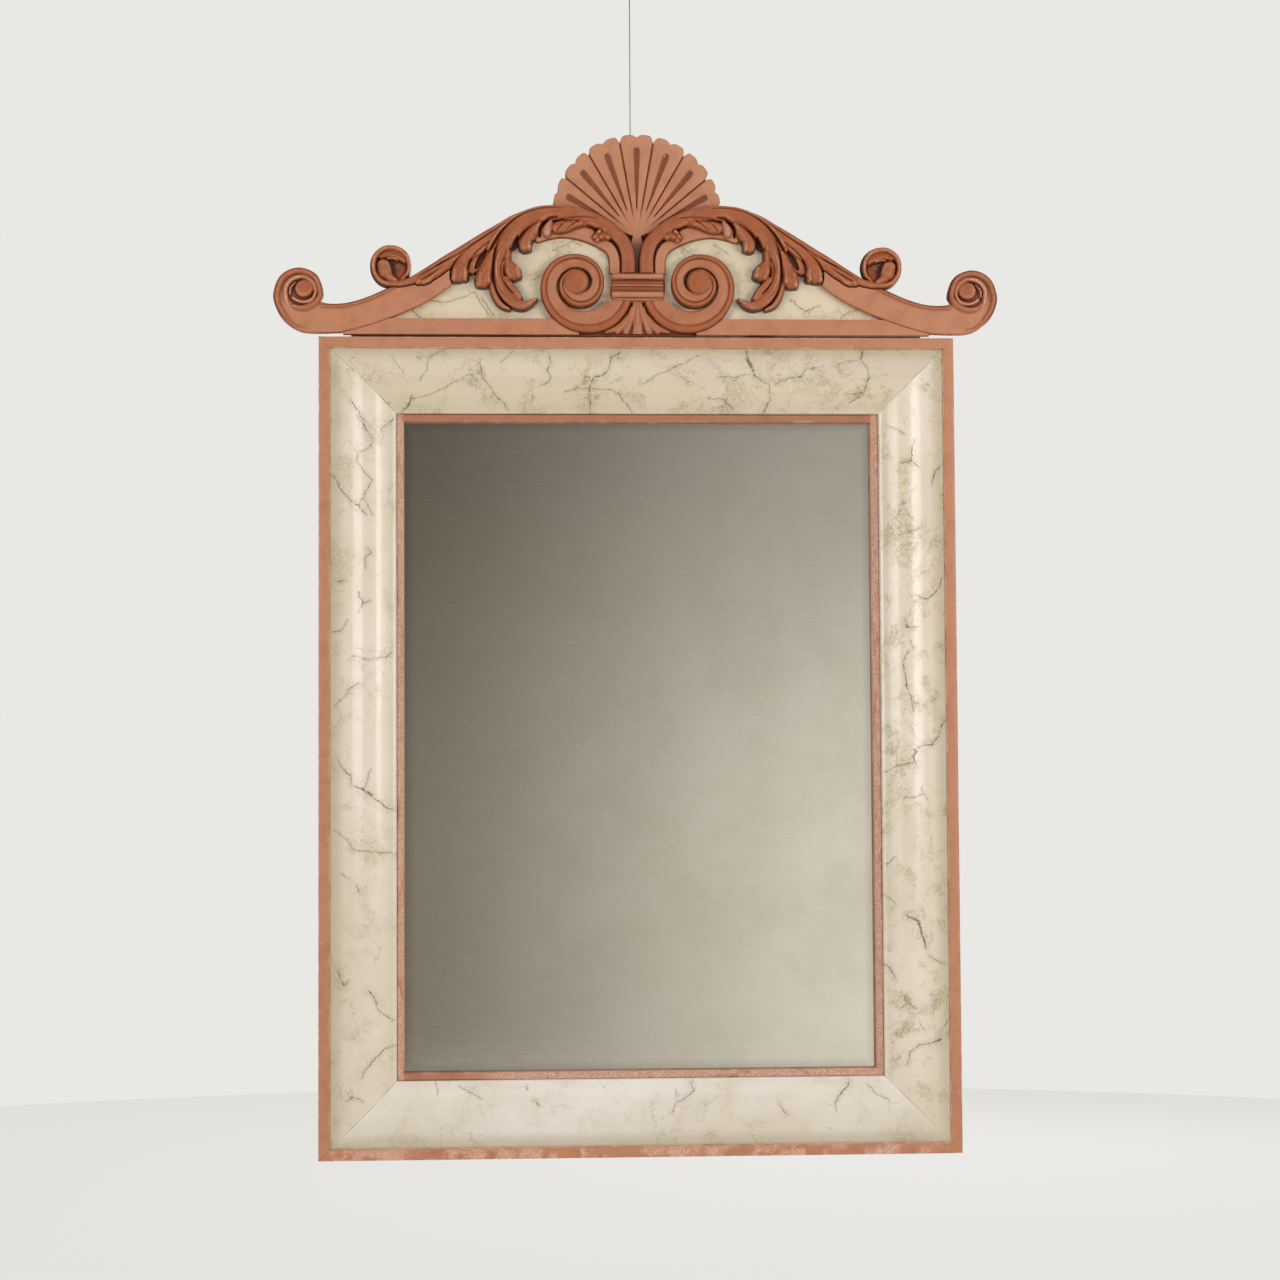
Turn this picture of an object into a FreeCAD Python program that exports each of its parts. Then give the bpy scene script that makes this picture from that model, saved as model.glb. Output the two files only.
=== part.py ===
import FreeCAD, Part
import math
import os
from FreeCAD import Vector

# Carved and painted wall mirror: a mitred frame, a cresting that stands on it, and the hanging wire.
# Millimetres. x runs across, z up; y = 0 is the wall and the front looks towards -y.
# The origin is the middle of the frame's bottom edge, on the wall.

# Frame moulding, measured in from the outer edge and out from the wall
FRAME_W = 755.0
FRAME_H = 966.0
MOULD_W = 91.5
FILLET_W = 13.3
FILLET_H = 40.0
FILLET_STEP = 2.5
COVE_IN = 32.0
COVE_H = 46.5
CROWN_IN = 56.0
CROWN_H = 53.0
FALL_IN = 80.0
FALL_H = 46.0
EDGE_BEAD_W = 3.5
EDGE_H = 40.5
WALL_STRIP_W = 45.0
STEP_DEPTH = 9.0
LIP_W = 7.5

# Inner slip, glass and backboard
SLIP_GAP = 0.3
SLIP_W = 7.7
SLIP_H = 36.5
SLIP_FALL = 6.5
GLASS_T = 4.0
BACKBOARD_T = 5.0
GLASS_CLEAR = 0.8

# Keys across the mitres
KEY_LEG = 40.0
KEY_T = 4.0
KEY_BACK = 18.0

# Turn buttons on the back
BUTTON_L = 40.0
BUTTON_W = 12.0
BUTTON_T = 2.0
BUTTON_LAP = 7.0
BUTTON_FROM_END = 240.0

# Screws
SCREW_R = 2.0
SCREW_HEAD_R = 4.0
SCREW_HEAD_T = 2.0
BUTTON_SCREW_L = 14.0
BATTEN_SCREW_L = 24.0
CLEAT_SCREW_L = 20.0
HANGER_SCREW_L = 16.0
SCREW_SINK = 0.6
BUTTON_SCREW_SPARE = 2.0
FIT = 0.05
OVERCUT = 1.0

# Cresting: u is the distance out from the centre, v the height above its bottom edge
CREST_GAP = 3.0
CREST_OVERHANG = 53.0
CREST_RISE = 155.0
BOARD_T = 18.0
SCRIBE = 0.3
BASE_RAIL_H = 19.0
BASE_RAIL_T = 10.0
ARM_T = 12.0
VOLUTE_R = 29.5
VOLUTE_UP = 49.0
VOLUTE_EYE_R = 12.5
VOLUTE_EYE_T = 4.0
VOLUTE_GROOVE_R = 17.7
VOLUTE_GROOVE_W = 3.5
VOLUTE_GROOVE_T = 3.0
LEAF_T = 14.0
LEAF_RIB_T = 8.0
LEAF_RIB_W = 12.0
LEAF_RIB_MARGIN = 3.0
CURL_R = 23.5
CURL_ROLL_W = 7.5
CURL_BUD_R = 8.5
CURL_BUD_SINK = 1.0
SCROLL_OUT = 70.0
SCROLL_UP = 62.0
SCROLL_R = 59.0
SCROLL_T = 17.0
SCROLL_EYE_R = 15.0
SCROLL_EYE_T = 5.0
COLLAR_HALF_W = 30.5
COLLAR_UP = 41.0
COLLAR_H = 33.0
COLLAR_T = 17.0
COLLAR_CLEAR = 8.0
COLLAR_MIDDLE_R = 4.4
CALYX_HALF_W = 32.0
CALYX_TOP_HALF_W = 7.0
CALYX_FOOT = 1.5
CALYX_T = 9.0
SHELL_UP = 119.0
SHELL_R = 123.0
SHELL_SIDE_DROP = 16.0
SHELL_LOBES = 7
SHELL_LOBE_DEG = 20.0
SHELL_NOTCH = 7.0
SHELL_FOOT_HALF_W = 8.0
SHELL_FOOT_DOWN = 7.0
FLUTE_R = 3.6
FLUTE_TIP_R = 0.7
FLUTE_L = 59.0
FLUTE_FROM_RIM = 17.2

# Battens and cleat behind the cresting
BATTEN_T = 12.0
BATTEN_W = 32.0
BATTEN_OUT = 150.0
BATTEN_DOWN = 42.0
BATTEN_UP = 95.0
CLEAT_T = 7.0
CLEAT_W = 48.0
CLEAT_UP = 35.0
CLEAT_H = 137.0

# Strap hanger, D-ring, wire and its eye
HANGER_X = -6.0
STRAP_W = 20.0
STRAP_T = 1.5
STRAP_L = 46.0
STRAP_OVER_CLEAT = 1.0
RING_ROD_R = 1.5
RING_R = 12.0
RING_FIT = 0.06
KNUCKLE_WALL = 1.0
KNUCKLE_W = 15.0
WIRE_R = 0.6
WIRE_L = 212.0
SLEEVE_L = 14.0
SLEEVE_RISE = 5.0
SLEEVE_WALL = 0.6
EYE_R = 5.0
EYE_RIM = 3.0
EYE_T = 3.0
EYE_SHANK_R = 2.0
EYE_SHANK_L = 14.0

# Levels that follow from the sizes above
CREST_HALF_W = FRAME_W / 2 + CREST_OVERHANG
CREST_Z = FRAME_H + CREST_GAP
BOARD_BACK = -BATTEN_T
BOARD_FRONT = BOARD_BACK - BOARD_T
RABBET_IN = MOULD_W - LIP_W
GLASS_FRONT = -(STEP_DEPTH + BACKBOARD_T + GLASS_T)
STEP_BACK = -STEP_DEPTH
CLEAT_BACK = BOARD_BACK + CLEAT_T
FAR = 2000.0


def box(x0, x1, y0, y1, z0, z1):
    return Part.makeBox(x1 - x0, y1 - y0, z1 - z0, Vector(x0, y0, z0))


def rod(radius, start, end):
    run = end - start
    return Part.makeCylinder(radius, run.Length, start, run)


def mirrored(shape):
    return shape.mirror(Vector(0, 0, 0), Vector(1, 0, 0))


def edge_through(points):
    """A straight line through two points, an arc through three, a smooth curve through more."""
    if len(points) == 2:
        return Part.LineSegment(points[0], points[1]).toShape()
    if len(points) == 3:
        return Part.Arc(points[0], points[1], points[2]).toShape()
    curve = Part.BSplineCurve()
    curve.interpolate(points)
    return curve.toShape()


def face_from(runs):
    return Part.Face(Part.Wire([edge_through(run) for run in runs]))


def at(u, v):
    """A point of the cresting's front elevation."""
    return Vector(u, 0, CREST_Z + v)


def elevation(runs):
    """A flat face drawn in the cresting's front elevation, from runs of (u, v) points."""
    return face_from([[at(u, v) for u, v in run] for run in runs])


def plate(face, back, front):
    """The face as a board between two depths."""
    board = face.extrude(Vector(0, front - back, 0))
    board.translate(Vector(0, back, 0))
    return board


def grown(face):
    """The face with the scribing gap added all round, for cutting its neighbours."""
    return face.makeOffset2D(SCRIBE).toNurbs().Faces[0]


def through_cut(face):
    return plate(face, BOARD_BACK + OVERCUT, BOARD_FRONT - FAR)


def polar(centre, share_by_angle, radius):
    """Points round a centre from (degrees, share of the radius) pairs."""
    points = []
    for degrees, share in share_by_angle:
        turn = math.radians(degrees)
        points.append((centre[0] + radius * share * math.cos(turn), centre[1] + radius * share * math.sin(turn)))
    return points


def screw(x, z, seat, length):
    """A round-headed screw driven from behind: its head's underside lies at the depth called seat."""
    head = rod(SCREW_HEAD_R, Vector(x, seat, z), Vector(x, seat + SCREW_HEAD_T, z))
    return head.fuse(rod(SCREW_R, Vector(x, seat, z), Vector(x, seat - length, z)))


def screw_hole(x, z, seat, length):
    return rod(SCREW_R + FIT, Vector(x, seat + OVERCUT, z), Vector(x, seat - length - OVERCUT, z))


# Frame members
def mould_profile():
    """Section of a frame member: (distance in, height off the wall), the marbled front as one curve."""
    def p(inward, height):
        return Vector(0, -height, inward)

    front = [p(FILLET_W, FILLET_H - FILLET_STEP), p(COVE_IN, COVE_H), p(CROWN_IN, CROWN_H), p(FALL_IN, FALL_H),
             p(MOULD_W - EDGE_BEAD_W, EDGE_H)]
    half = EDGE_BEAD_W * (1 - math.sqrt(0.5))
    bead = [front[-1], p(MOULD_W - half, EDGE_H - half), p(MOULD_W, EDGE_H - EDGE_BEAD_W)]
    corners = [bead[-1], p(MOULD_W, -GLASS_FRONT), p(RABBET_IN, -GLASS_FRONT), p(RABBET_IN, STEP_DEPTH),
               p(WALL_STRIP_W, STEP_DEPTH), p(WALL_STRIP_W, 0), p(0, 0), p(0, FILLET_H), p(FILLET_W, FILLET_H),
               front[0]]
    return face_from([front, bead] + [corners[i:i + 2] for i in range(len(corners) - 1)])


def slip_profile():
    outer = MOULD_W + SLIP_GAP
    sight = outer + SLIP_W
    corners = [Vector(0, GLASS_FRONT, outer), Vector(0, -SLIP_H, outer), Vector(0, SLIP_FALL - SLIP_H, sight),
               Vector(0, GLASS_FRONT, sight)]
    return Part.Face(Part.makePolygon(corners + corners[:1]))


def mitred(profile, length):
    """A bottom member of this section, cut at 45 degrees at both ends."""
    bar = profile.extrude(Vector(length, 0, 0))
    bar.translate(Vector(-length / 2, 0, 0))
    for side in (-1, 1):
        corner = Vector(side * length / 2, -FAR / 2, 0)
        triangle = [corner, corner + Vector(side * FAR, 0, 0), corner + Vector(side * FAR, 0, FAR),
                    corner + Vector(-side * FAR, 0, FAR)]
        bar = bar.cut(Part.Face(Part.makePolygon(triangle + triangle[:1])).extrude(Vector(0, FAR, 0)))
    return bar


def four_members(profile):
    bottom = mitred(profile, FRAME_W)
    top = bottom.mirror(Vector(0, 0, FRAME_H / 2), Vector(0, 0, 1))
    left = mitred(profile, FRAME_H)
    left.rotate(Vector(0, 0, 0), Vector(0, 1, 0), 90)
    left.translate(Vector(-FRAME_W / 2, 0, FRAME_H / 2))
    return {"bottom": bottom, "top": top, "left": left, "right": mirrored(left)}


def corner_triangles(leg, margin, back, front):
    """A right-angled plate in each corner of the frame, its legs along the frame's outer edges."""
    plates = []
    for sx in (-1, 1):
        for z0, sz in ((0, 1), (FRAME_H, -1)):
            corner = Vector(sx * (FRAME_W / 2 + margin), back, z0 - sz * margin)
            reach = leg + 2 * margin
            points = [corner, corner + Vector(-sx * reach, 0, 0), corner + Vector(0, 0, sz * reach), corner]
            plates.append(Part.Face(Part.makePolygon(points)).extrude(Vector(0, front - back, 0)))
    return plates


def turn_button_places():
    """Where the buttons turn, and whether their length lies along x (on the stiles) or z (on the rails)."""
    inward = RABBET_IN + GLASS_CLEAR + BUTTON_LAP - BUTTON_L / 2
    side = FRAME_W / 2 - inward
    places = []
    for x in (-side, side):
        for z in (BUTTON_FROM_END, FRAME_H - BUTTON_FROM_END):
            places.append((x, z, True))
    places.append((0.0, inward, False))
    places.append((0.0, FRAME_H - inward, False))
    return places


def turn_button(x, z, along_x):
    """A flat brass bar with round ends, drilled for its screw."""
    reach = (BUTTON_L - BUTTON_W) / 2
    along = Vector(reach, 0, 0) if along_x else Vector(0, 0, reach)
    across = Vector(0, 0, BUTTON_W / 2) if along_x else Vector(BUTTON_W / 2, 0, 0)
    centre = Vector(x, STEP_BACK, z)
    tip = along * (BUTTON_L / 2 / reach)
    runs = [[centre - along - across, centre + along - across],
            [centre + along - across, centre + tip, centre + along + across],
            [centre + along + across, centre - along + across],
            [centre - along + across, centre - tip, centre - along - across]]
    bar = face_from(runs).extrude(Vector(0, BUTTON_T, 0))
    return bar.cut(screw_hole(x, z, STEP_BACK + BUTTON_T, BUTTON_T))


# Cresting outlines
VOLUTE_OUT = CREST_HALF_W - VOLUTE_R
VOLUTE_TURN = [(255, 1.66), (275, 1.465), (300, 1.245), (328, 1.08), (360, 1.0), (405, 0.99), (450, 1.0),
               (495, 1.02), (540, 1.0), (563, 0.94)]
SCROLL_OUTER = [(195, 1.12), (232, 1.11), (270, 1.0), (313, 0.865), (351, 0.78), (391, 0.695), (433, 0.594),
                (485, 0.535), (540, 0.51), (590, 0.525), (630, 0.508), (670, 0.455), (711, 0.4), (752, 0.325),
                (794, 0.27)]
SCROLL_INNER = [(203, 0.675), (224, 0.66), (241, 0.622), (257, 0.583), (277, 0.556), (315, 0.488), (351, 0.43),
                (392, 0.36), (434, 0.3), (480, 0.275), (530, 0.26), (612, 0.22), (700, 0.2), (794, 0.2)]
SCROLL_ONE_TURN = 540

# The arms and leaves are drawn on a squared sheet that reaches from the centre line to the volute's eye, and from
# the bottom edge to the top of the leaf
SHEET_SQUARES = (401.0, 155.0)


def drawn(points):
    """Points of the squared sheet, at the cresting's real width and rise."""
    across = VOLUTE_OUT / SHEET_SQUARES[0]
    up = CREST_RISE / SHEET_SQUARES[1]
    return [(u * across, v * up) for u, v in points]


def arm_face():
    """The S-shaped arm: lower seam, bottom edge, end volute and hollow top edge."""
    seam = drawn([(222, 58), (245.4, 42.1), (268.7, 30.2), (301, 17), (330, 7.6), (352, 2.2)])
    turn = polar((VOLUTE_OUT, VOLUTE_UP), VOLUTE_TURN, VOLUTE_R)
    top = [turn[-1]] + drawn([(365, 35.8), (349, 36.2), (335, 39), (320, 44), (305, 50.5), (291, 58), (268, 66),
                              (240, 75)])
    return elevation([seam, [seam[-1]] + turn, top, [top[-1], seam[0]]])


def scroll_envelope():
    """Outline round the outside of the C-scroll, without the opening between its turns."""
    outer = [pair for pair in SCROLL_OUTER if pair[0] <= SCROLL_ONE_TURN]
    points = polar((SCROLL_OUT, SCROLL_UP), outer, SCROLL_R)
    return elevation([points, [points[-1], points[0]]])


def scroll_band():
    centre = (SCROLL_OUT, SCROLL_UP)
    outer = polar(centre, SCROLL_OUTER, SCROLL_R)
    inner = polar(centre, SCROLL_INNER, SCROLL_R)
    return elevation([outer, [outer[-1], inner[-1]], inner[::-1], [inner[0], outer[0]]])


LEAF_TOP = drawn([(5.3, 86), (9, 108), (20, 123.8), (38.2, 137.3), (59.3, 147.7), (77.6, 153.6), (95, 155),
                  (122, 152.3), (146, 145.5), (170.5, 131.5), (197.5, 113), (227, 94.5), (251.6, 80.7), (270, 70)])
CURL = drawn([(290, 81)])[0]


def leaf_face():
    """The acanthus spray: its long top sweep, then back along the lobes to the collar."""
    foot = COLLAR_UP + COLLAR_H
    lobes = [[(270, 70), (268, 62)],
             [(268, 62), (256, 58), (243, 62.5)],
             [(243, 62.5), (238, 71)],
             [(238, 71), (222, 73)],
             [(222, 73), (216, 60), (204, 65)],
             [(204, 65), (197, 70)],
             [(197, 70), (186, 52.5), (177, 60)],
             [(177, 60), (173, 47), (163, 34.5), (148, 27.5), (133, 29), (119.5, 43)],
             [(119.5, 43), (130, 39), (142, 42), (146, 50), (156, 59)],
             [(156, 59), (147, 61.5), (138.5, 67), (138, 78), (143, 88)],
             [(143, 88), (149, 95)],
             [(149, 95), (134, 94.5), (124, 104)]]
    stem = drawn([(124, 104), (112, 113), (95, 118), (75, 117), (58, 111), (44, 101), (36, 88)])
    heel = (drawn([(32, 0)])[0][0], foot)
    toe = (LEAF_TOP[0][0], foot)
    runs = [[toe, LEAF_TOP[0]], LEAF_TOP] + [drawn(lobe) for lobe in lobes]
    return elevation(runs + [stem + [heel], [heel, toe]])


def leaf_rib_face():
    """The raised midrib that follows the top sweep, a little in from its edge."""
    upper = []
    lower = []
    for before, here, after in zip(LEAF_TOP, LEAF_TOP[1:], LEAF_TOP[2:]):
        du = after[0] - before[0]
        dv = after[1] - before[1]
        run = math.hypot(du, dv)
        inward = (dv / run, -du / run)
        for edge, depth in ((upper, LEAF_RIB_MARGIN), (lower, LEAF_RIB_MARGIN + LEAF_RIB_W)):
            edge.append((here[0] + depth * inward[0], here[1] + depth * inward[1]))
    return elevation([upper, [upper[-1], lower[-1]], lower[::-1], [lower[0], upper[0]]])


def curl_neck_face():
    """The short neck that joins the spray's outer end to its curl."""
    corners = drawn([(256, 58), (298, 58.5), (281, 73), (258, 76)])
    return elevation([[corners[i], corners[(i + 1) % len(corners)]] for i in range(len(corners))])


def curl_disc(radius, back, front):
    centre = at(*CURL)
    return rod(radius, centre + Vector(0, back, 0), centre + Vector(0, front, 0))


def shell_rim_point(degrees, inset):
    """A point of the shell's rim, counted from straight up; the rim draws in towards the sides."""
    half_fan = SHELL_LOBES * SHELL_LOBE_DEG / 2
    radius = SHELL_R - SHELL_SIDE_DROP * (degrees / half_fan) ** 2 - inset
    turn = math.radians(degrees)
    return (radius * math.sin(turn), SHELL_UP + radius * math.cos(turn))


def shell_face():
    """Scallop outline: each lobe's rim has two bumps, with a notch between lobes."""
    bumps = 2 * SHELL_LOBES
    step = SHELL_LOBE_DEG / 2
    first = -SHELL_LOBES * SHELL_LOBE_DEG / 2
    runs = []
    for i in range(bumps):
        start = first + i * step
        inset = [SHELL_NOTCH, SHELL_NOTCH / 3] if i % 2 == 0 else [SHELL_NOTCH / 3, SHELL_NOTCH]
        runs.append([shell_rim_point(start, inset[0]), shell_rim_point(start + step / 2, 0),
                     shell_rim_point(start + step, inset[1])])
    foot = [(SHELL_FOOT_HALF_W, SHELL_UP - SHELL_FOOT_DOWN), (-SHELL_FOOT_HALF_W, SHELL_UP - SHELL_FOOT_DOWN)]
    runs.append([runs[-1][-1], foot[0]])
    runs.append(foot)
    runs.append([foot[1], runs[0][0]])
    return elevation(runs)


def board_face():
    """The tympanum board: straight below, its upper edge hidden behind arms and leaves."""
    rise = drawn([(340, 12), (315, 22), (290, 33), (262, 48), (240, 62), (215, 82), (190, 100), (165, 118),
                  (140, 132), (118, 139), (95, 141), (60, 131), (30, 118)])
    end = rise[0][0]
    left_rise = [(-u, v) for u, v in rise]
    return elevation([[(-end, 0), (end, 0)], [(end, 0), rise[0]], rise, [rise[-1], left_rise[-1]], left_rise[::-1],
                      [left_rise[0], (-end, 0)]])


# Cresting pieces
def arm(leaf_cut):
    """An arm with a groove turned into its volute, round a raised eye."""
    piece = plate(arm_face(), BOARD_FRONT, BOARD_FRONT - ARM_T)
    centre = at(VOLUTE_OUT, VOLUTE_UP)
    front = BOARD_FRONT - ARM_T
    groove = [rod(radius, centre + Vector(0, front - OVERCUT, 0), centre + Vector(0, front + VOLUTE_GROOVE_T, 0))
              for radius in (VOLUTE_GROOVE_R + VOLUTE_GROOVE_W, VOLUTE_GROOVE_R)]
    eye = rod(VOLUTE_EYE_R, centre + Vector(0, front, 0), centre + Vector(0, front - VOLUTE_EYE_T, 0))
    return piece.cut(groove[0].cut(groove[1])).fuse(eye).cut(leaf_cut)


def base_rail(arm_cut, scroll_cut):
    end = drawn([(349, 0)])[0][0]
    face = elevation([[(SCROLL_OUT, 0), (end, 0)], [(end, 0), (end, BASE_RAIL_H)],
                      [(end, BASE_RAIL_H), (SCROLL_OUT, BASE_RAIL_H)], [(SCROLL_OUT, BASE_RAIL_H), (SCROLL_OUT, 0)]])
    rail = plate(face, BOARD_FRONT, BOARD_FRONT - BASE_RAIL_T)
    return rail.cut(arm_cut).cut(scroll_cut)


def scroll():
    band = plate(scroll_band(), BOARD_FRONT, BOARD_FRONT - SCROLL_T)
    centre = at(SCROLL_OUT, SCROLL_UP)
    front = BOARD_FRONT - SCROLL_T - SCROLL_EYE_T
    eye = rod(SCROLL_EYE_R, centre + Vector(0, BOARD_FRONT, 0), centre + Vector(0, front, 0))
    stem = box(0, COLLAR_HALF_W + COLLAR_CLEAR, BOARD_FRONT - FAR, BOARD_BACK,
               CREST_Z + COLLAR_UP, CREST_Z + COLLAR_UP + COLLAR_H + COLLAR_CLEAR)
    return band.fuse(eye).cut(stem)


def acanthus(scroll_cut):
    leaf = plate(leaf_face(), BOARD_FRONT, BOARD_FRONT - LEAF_T)
    rib = plate(leaf_rib_face(), BOARD_FRONT - LEAF_T, BOARD_FRONT - LEAF_T - LEAF_RIB_T)
    neck = plate(curl_neck_face(), BOARD_FRONT, BOARD_FRONT - LEAF_T)
    front = BOARD_FRONT - LEAF_T - LEAF_RIB_T
    curl = curl_disc(CURL_R, BOARD_FRONT, front)
    hollow = curl_disc(CURL_R - CURL_ROLL_W, front + LEAF_RIB_T, front - OVERCUT)
    bud = curl_disc(CURL_BUD_R, front + LEAF_RIB_T, front + CURL_BUD_SINK)
    return leaf.cut(scroll_cut).fuse([rib, neck, curl]).cut(hollow).fuse(bud).removeSplitter()


def collar():
    """Band of three reeds across the stems, the outer two rounder and prouder."""
    body = box(-COLLAR_HALF_W, COLLAR_HALF_W, BOARD_FRONT - COLLAR_T, BOARD_FRONT,
               CREST_Z + COLLAR_UP, CREST_Z + COLLAR_UP + COLLAR_H)
    reed_r = COLLAR_H / 6
    depth = BOARD_FRONT - COLLAR_T
    reeds = []
    for row, radius in ((1, reed_r), (3, COLLAR_MIDDLE_R), (5, reed_r)):
        middle = Vector(0, depth, CREST_Z + COLLAR_UP + row * reed_r)
        half = Vector(COLLAR_HALF_W, 0, 0)
        reeds.append(rod(radius, middle - half, middle + half))
    return body.fuse(reeds).removeSplitter()


def calyx(cuts):
    """The small leaf under the collar, fitted between the two scrolls."""
    corners = [(-CALYX_HALF_W, CALYX_FOOT), (CALYX_HALF_W, CALYX_FOOT), (CALYX_TOP_HALF_W, COLLAR_UP),
               (-CALYX_TOP_HALF_W, COLLAR_UP)]
    face = elevation([[corners[i], corners[(i + 1) % len(corners)]] for i in range(len(corners))])
    piece = plate(face, BOARD_FRONT, BOARD_FRONT - CALYX_T)
    for cut in cuts:
        piece = piece.cut(cut)
    return piece


def shell():
    """Scallop with a round-ended flute down each lobe."""
    piece = plate(shell_face(), BOARD_BACK, BOARD_FRONT)
    middle = (SHELL_LOBES - 1) / 2
    for lobe in range(SHELL_LOBES):
        degrees = (lobe - middle) * SHELL_LOBE_DEG
        inner = shell_rim_point(degrees, FLUTE_FROM_RIM + FLUTE_L)
        outer = shell_rim_point(degrees, FLUTE_FROM_RIM)
        start = at(*inner) + Vector(0, BOARD_FRONT, 0)
        end = at(*outer) + Vector(0, BOARD_FRONT, 0)
        run = end - start
        piece = piece.cut(Part.makeCone(FLUTE_TIP_R, FLUTE_R, run.Length, start, run))
        piece = piece.cut(Part.makeSphere(FLUTE_R, end))
    return piece


# Battens, cleat and their screws
def batten_screw_places():
    places = []
    for u in (-BATTEN_OUT, BATTEN_OUT):
        for z in (FRAME_H - BATTEN_DOWN * 0.7, FRAME_H - BATTEN_DOWN * 0.28,
                  CREST_Z + BATTEN_UP * 0.28, CREST_Z + BATTEN_UP * 0.8):
            places.append((u, z))
    return places


HEAD_SINK = SCREW_HEAD_T + SCREW_SINK
CLEAT_SCREWS = [(HANGER_X + side * CLEAT_W / 3, CREST_Z + CLEAT_UP + CLEAT_H * share)
                for side in (-1, 1) for share in (0.17, 0.84)]
STRAP_TOP = CREST_Z + CLEAT_UP + CLEAT_H + KNUCKLE_WALL + 2 * RING_ROD_R + STRAP_OVER_CLEAT
STRAP_SCREWS = [(HANGER_X, STRAP_TOP - STRAP_L * share) for share in (0.35, 0.8)]
RING_Y = CLEAT_BACK + STRAP_T
RING_Z = STRAP_TOP


def batten(u):
    bar = box(u - BATTEN_W / 2, u + BATTEN_W / 2, -BATTEN_T, 0, FRAME_H - BATTEN_DOWN, CREST_Z + BATTEN_UP)
    for x, z in batten_screw_places():
        sink = rod(SCREW_HEAD_R + FIT, Vector(x, -HEAD_SINK, z), Vector(x, OVERCUT, z))
        bar = bar.cut(sink).cut(screw_hole(x, z, -HEAD_SINK, BATTEN_SCREW_L))
    return bar


def batten_housing(u):
    return box(u - BATTEN_W / 2 - FIT, u + BATTEN_W / 2 + FIT, -BATTEN_T, OVERCUT,
               FRAME_H - BATTEN_DOWN - FIT, FRAME_H + OVERCUT)


def drill(shape, places, seat, length):
    for x, z in places:
        shape = shape.cut(screw_hole(x, z, seat, length))
    return shape


def screws(places, seat, length):
    return Part.makeCompound([screw(x, z, seat, length) for x, z in places])


# Hanger and wire
def strap():
    """Steel strap rolled into a knuckle round the D-ring's straight side."""
    outer_r = RING_ROD_R + RING_FIT + KNUCKLE_WALL
    leaf = box(HANGER_X - STRAP_W / 2, HANGER_X + STRAP_W / 2, CLEAT_BACK, CLEAT_BACK + STRAP_T,
               STRAP_TOP - STRAP_L, RING_Z - outer_r)
    tab = box(HANGER_X - KNUCKLE_W / 2, HANGER_X + KNUCKLE_W / 2, CLEAT_BACK, CLEAT_BACK + STRAP_T,
              RING_Z - outer_r, RING_Z)
    half = Vector(KNUCKLE_W / 2, 0, 0)
    centre = Vector(HANGER_X, RING_Y, RING_Z)
    roll = rod(outer_r, centre - half, centre + half)
    bore = rod(RING_ROD_R + RING_FIT, centre - half * 2, centre + half * 2)
    return drill(leaf.fuse([tab, roll]).cut(bore).removeSplitter(), STRAP_SCREWS, CLEAT_BACK + STRAP_T, STRAP_T)


def ring():
    """D-ring: a straight rod and a half-round bow, with rounded corners."""
    centre = Vector(HANGER_X, RING_Y, RING_Z)
    side = Vector(RING_R, 0, 0)
    bow = Part.makeTorus(RING_R, RING_ROD_R, centre, Vector(0, 1, 0))
    upper = box(HANGER_X - FAR, HANGER_X + FAR, RING_Y - FAR, RING_Y + FAR, RING_Z, RING_Z + FAR)
    corners = [Part.makeSphere(RING_ROD_R, centre - side), Part.makeSphere(RING_ROD_R, centre + side)]
    return bow.common(upper).fuse([rod(RING_ROD_R, centre - side, centre + side)] + corners)


BOW_TOP = RING_Z + RING_R
LOOP_R = RING_ROD_R + WIRE_R + FIT
SLEEVE_Z = BOW_TOP + SLEEVE_RISE
WIRE_ROUTE = [Vector(HANGER_X, RING_Y, SLEEVE_Z + SLEEVE_L), Vector(HANGER_X, RING_Y, SLEEVE_Z + SLEEVE_L + WIRE_L)]
EYE_Z = WIRE_ROUTE[1].z + EYE_SHANK_L + EYE_R + EYE_RIM / 2


def wire_loop():
    """The wire's end taken round the ring's bow and up into the crimped sleeve."""
    centre = Vector(HANGER_X, RING_Y, BOW_TOP)
    lower = box(HANGER_X - FAR, HANGER_X + FAR, RING_Y - FAR, RING_Y + FAR, BOW_TOP - FAR, BOW_TOP)
    bend = Part.makeTorus(LOOP_R, WIRE_R, centre, Vector(1, 0, 0)).common(lower)
    legs = []
    for side in (-LOOP_R, LOOP_R):
        foot = centre + Vector(0, side, 0)
        legs.append(rod(WIRE_R, foot, foot + Vector(0, 0, SLEEVE_RISE)))
    return bend.fuse(legs)


def sleeve():
    """Oval crimped sleeve over the two legs of the loop."""
    half_x = WIRE_R + SLEEVE_WALL
    foot = Vector(HANGER_X, RING_Y, SLEEVE_Z)
    left = Vector(-half_x, 0, 0)
    back = Vector(0, LOOP_R, 0)
    tip = Vector(0, LOOP_R + half_x, 0)
    runs = [[foot - back + left, foot + back + left], [foot + back + left, foot + tip, foot + back - left],
            [foot + back - left, foot - back - left], [foot - back - left, foot - tip, foot - back + left]]
    return face_from(runs).extrude(Vector(0, 0, SLEEVE_L))


def wire_eye():
    """Swaged end of the wire: a short shank and a flat eye for a rail hook."""
    centre = Vector(HANGER_X, RING_Y, EYE_Z)
    half = Vector(0, EYE_T / 2, 0)
    rim = rod(EYE_R + EYE_RIM, centre - half, centre + half)
    shank = rod(EYE_SHANK_R, WIRE_ROUTE[1], centre - Vector(0, 0, EYE_R))
    return rim.fuse(shank).cut(rod(EYE_R, centre - half * 2, centre + half * 2))


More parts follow.
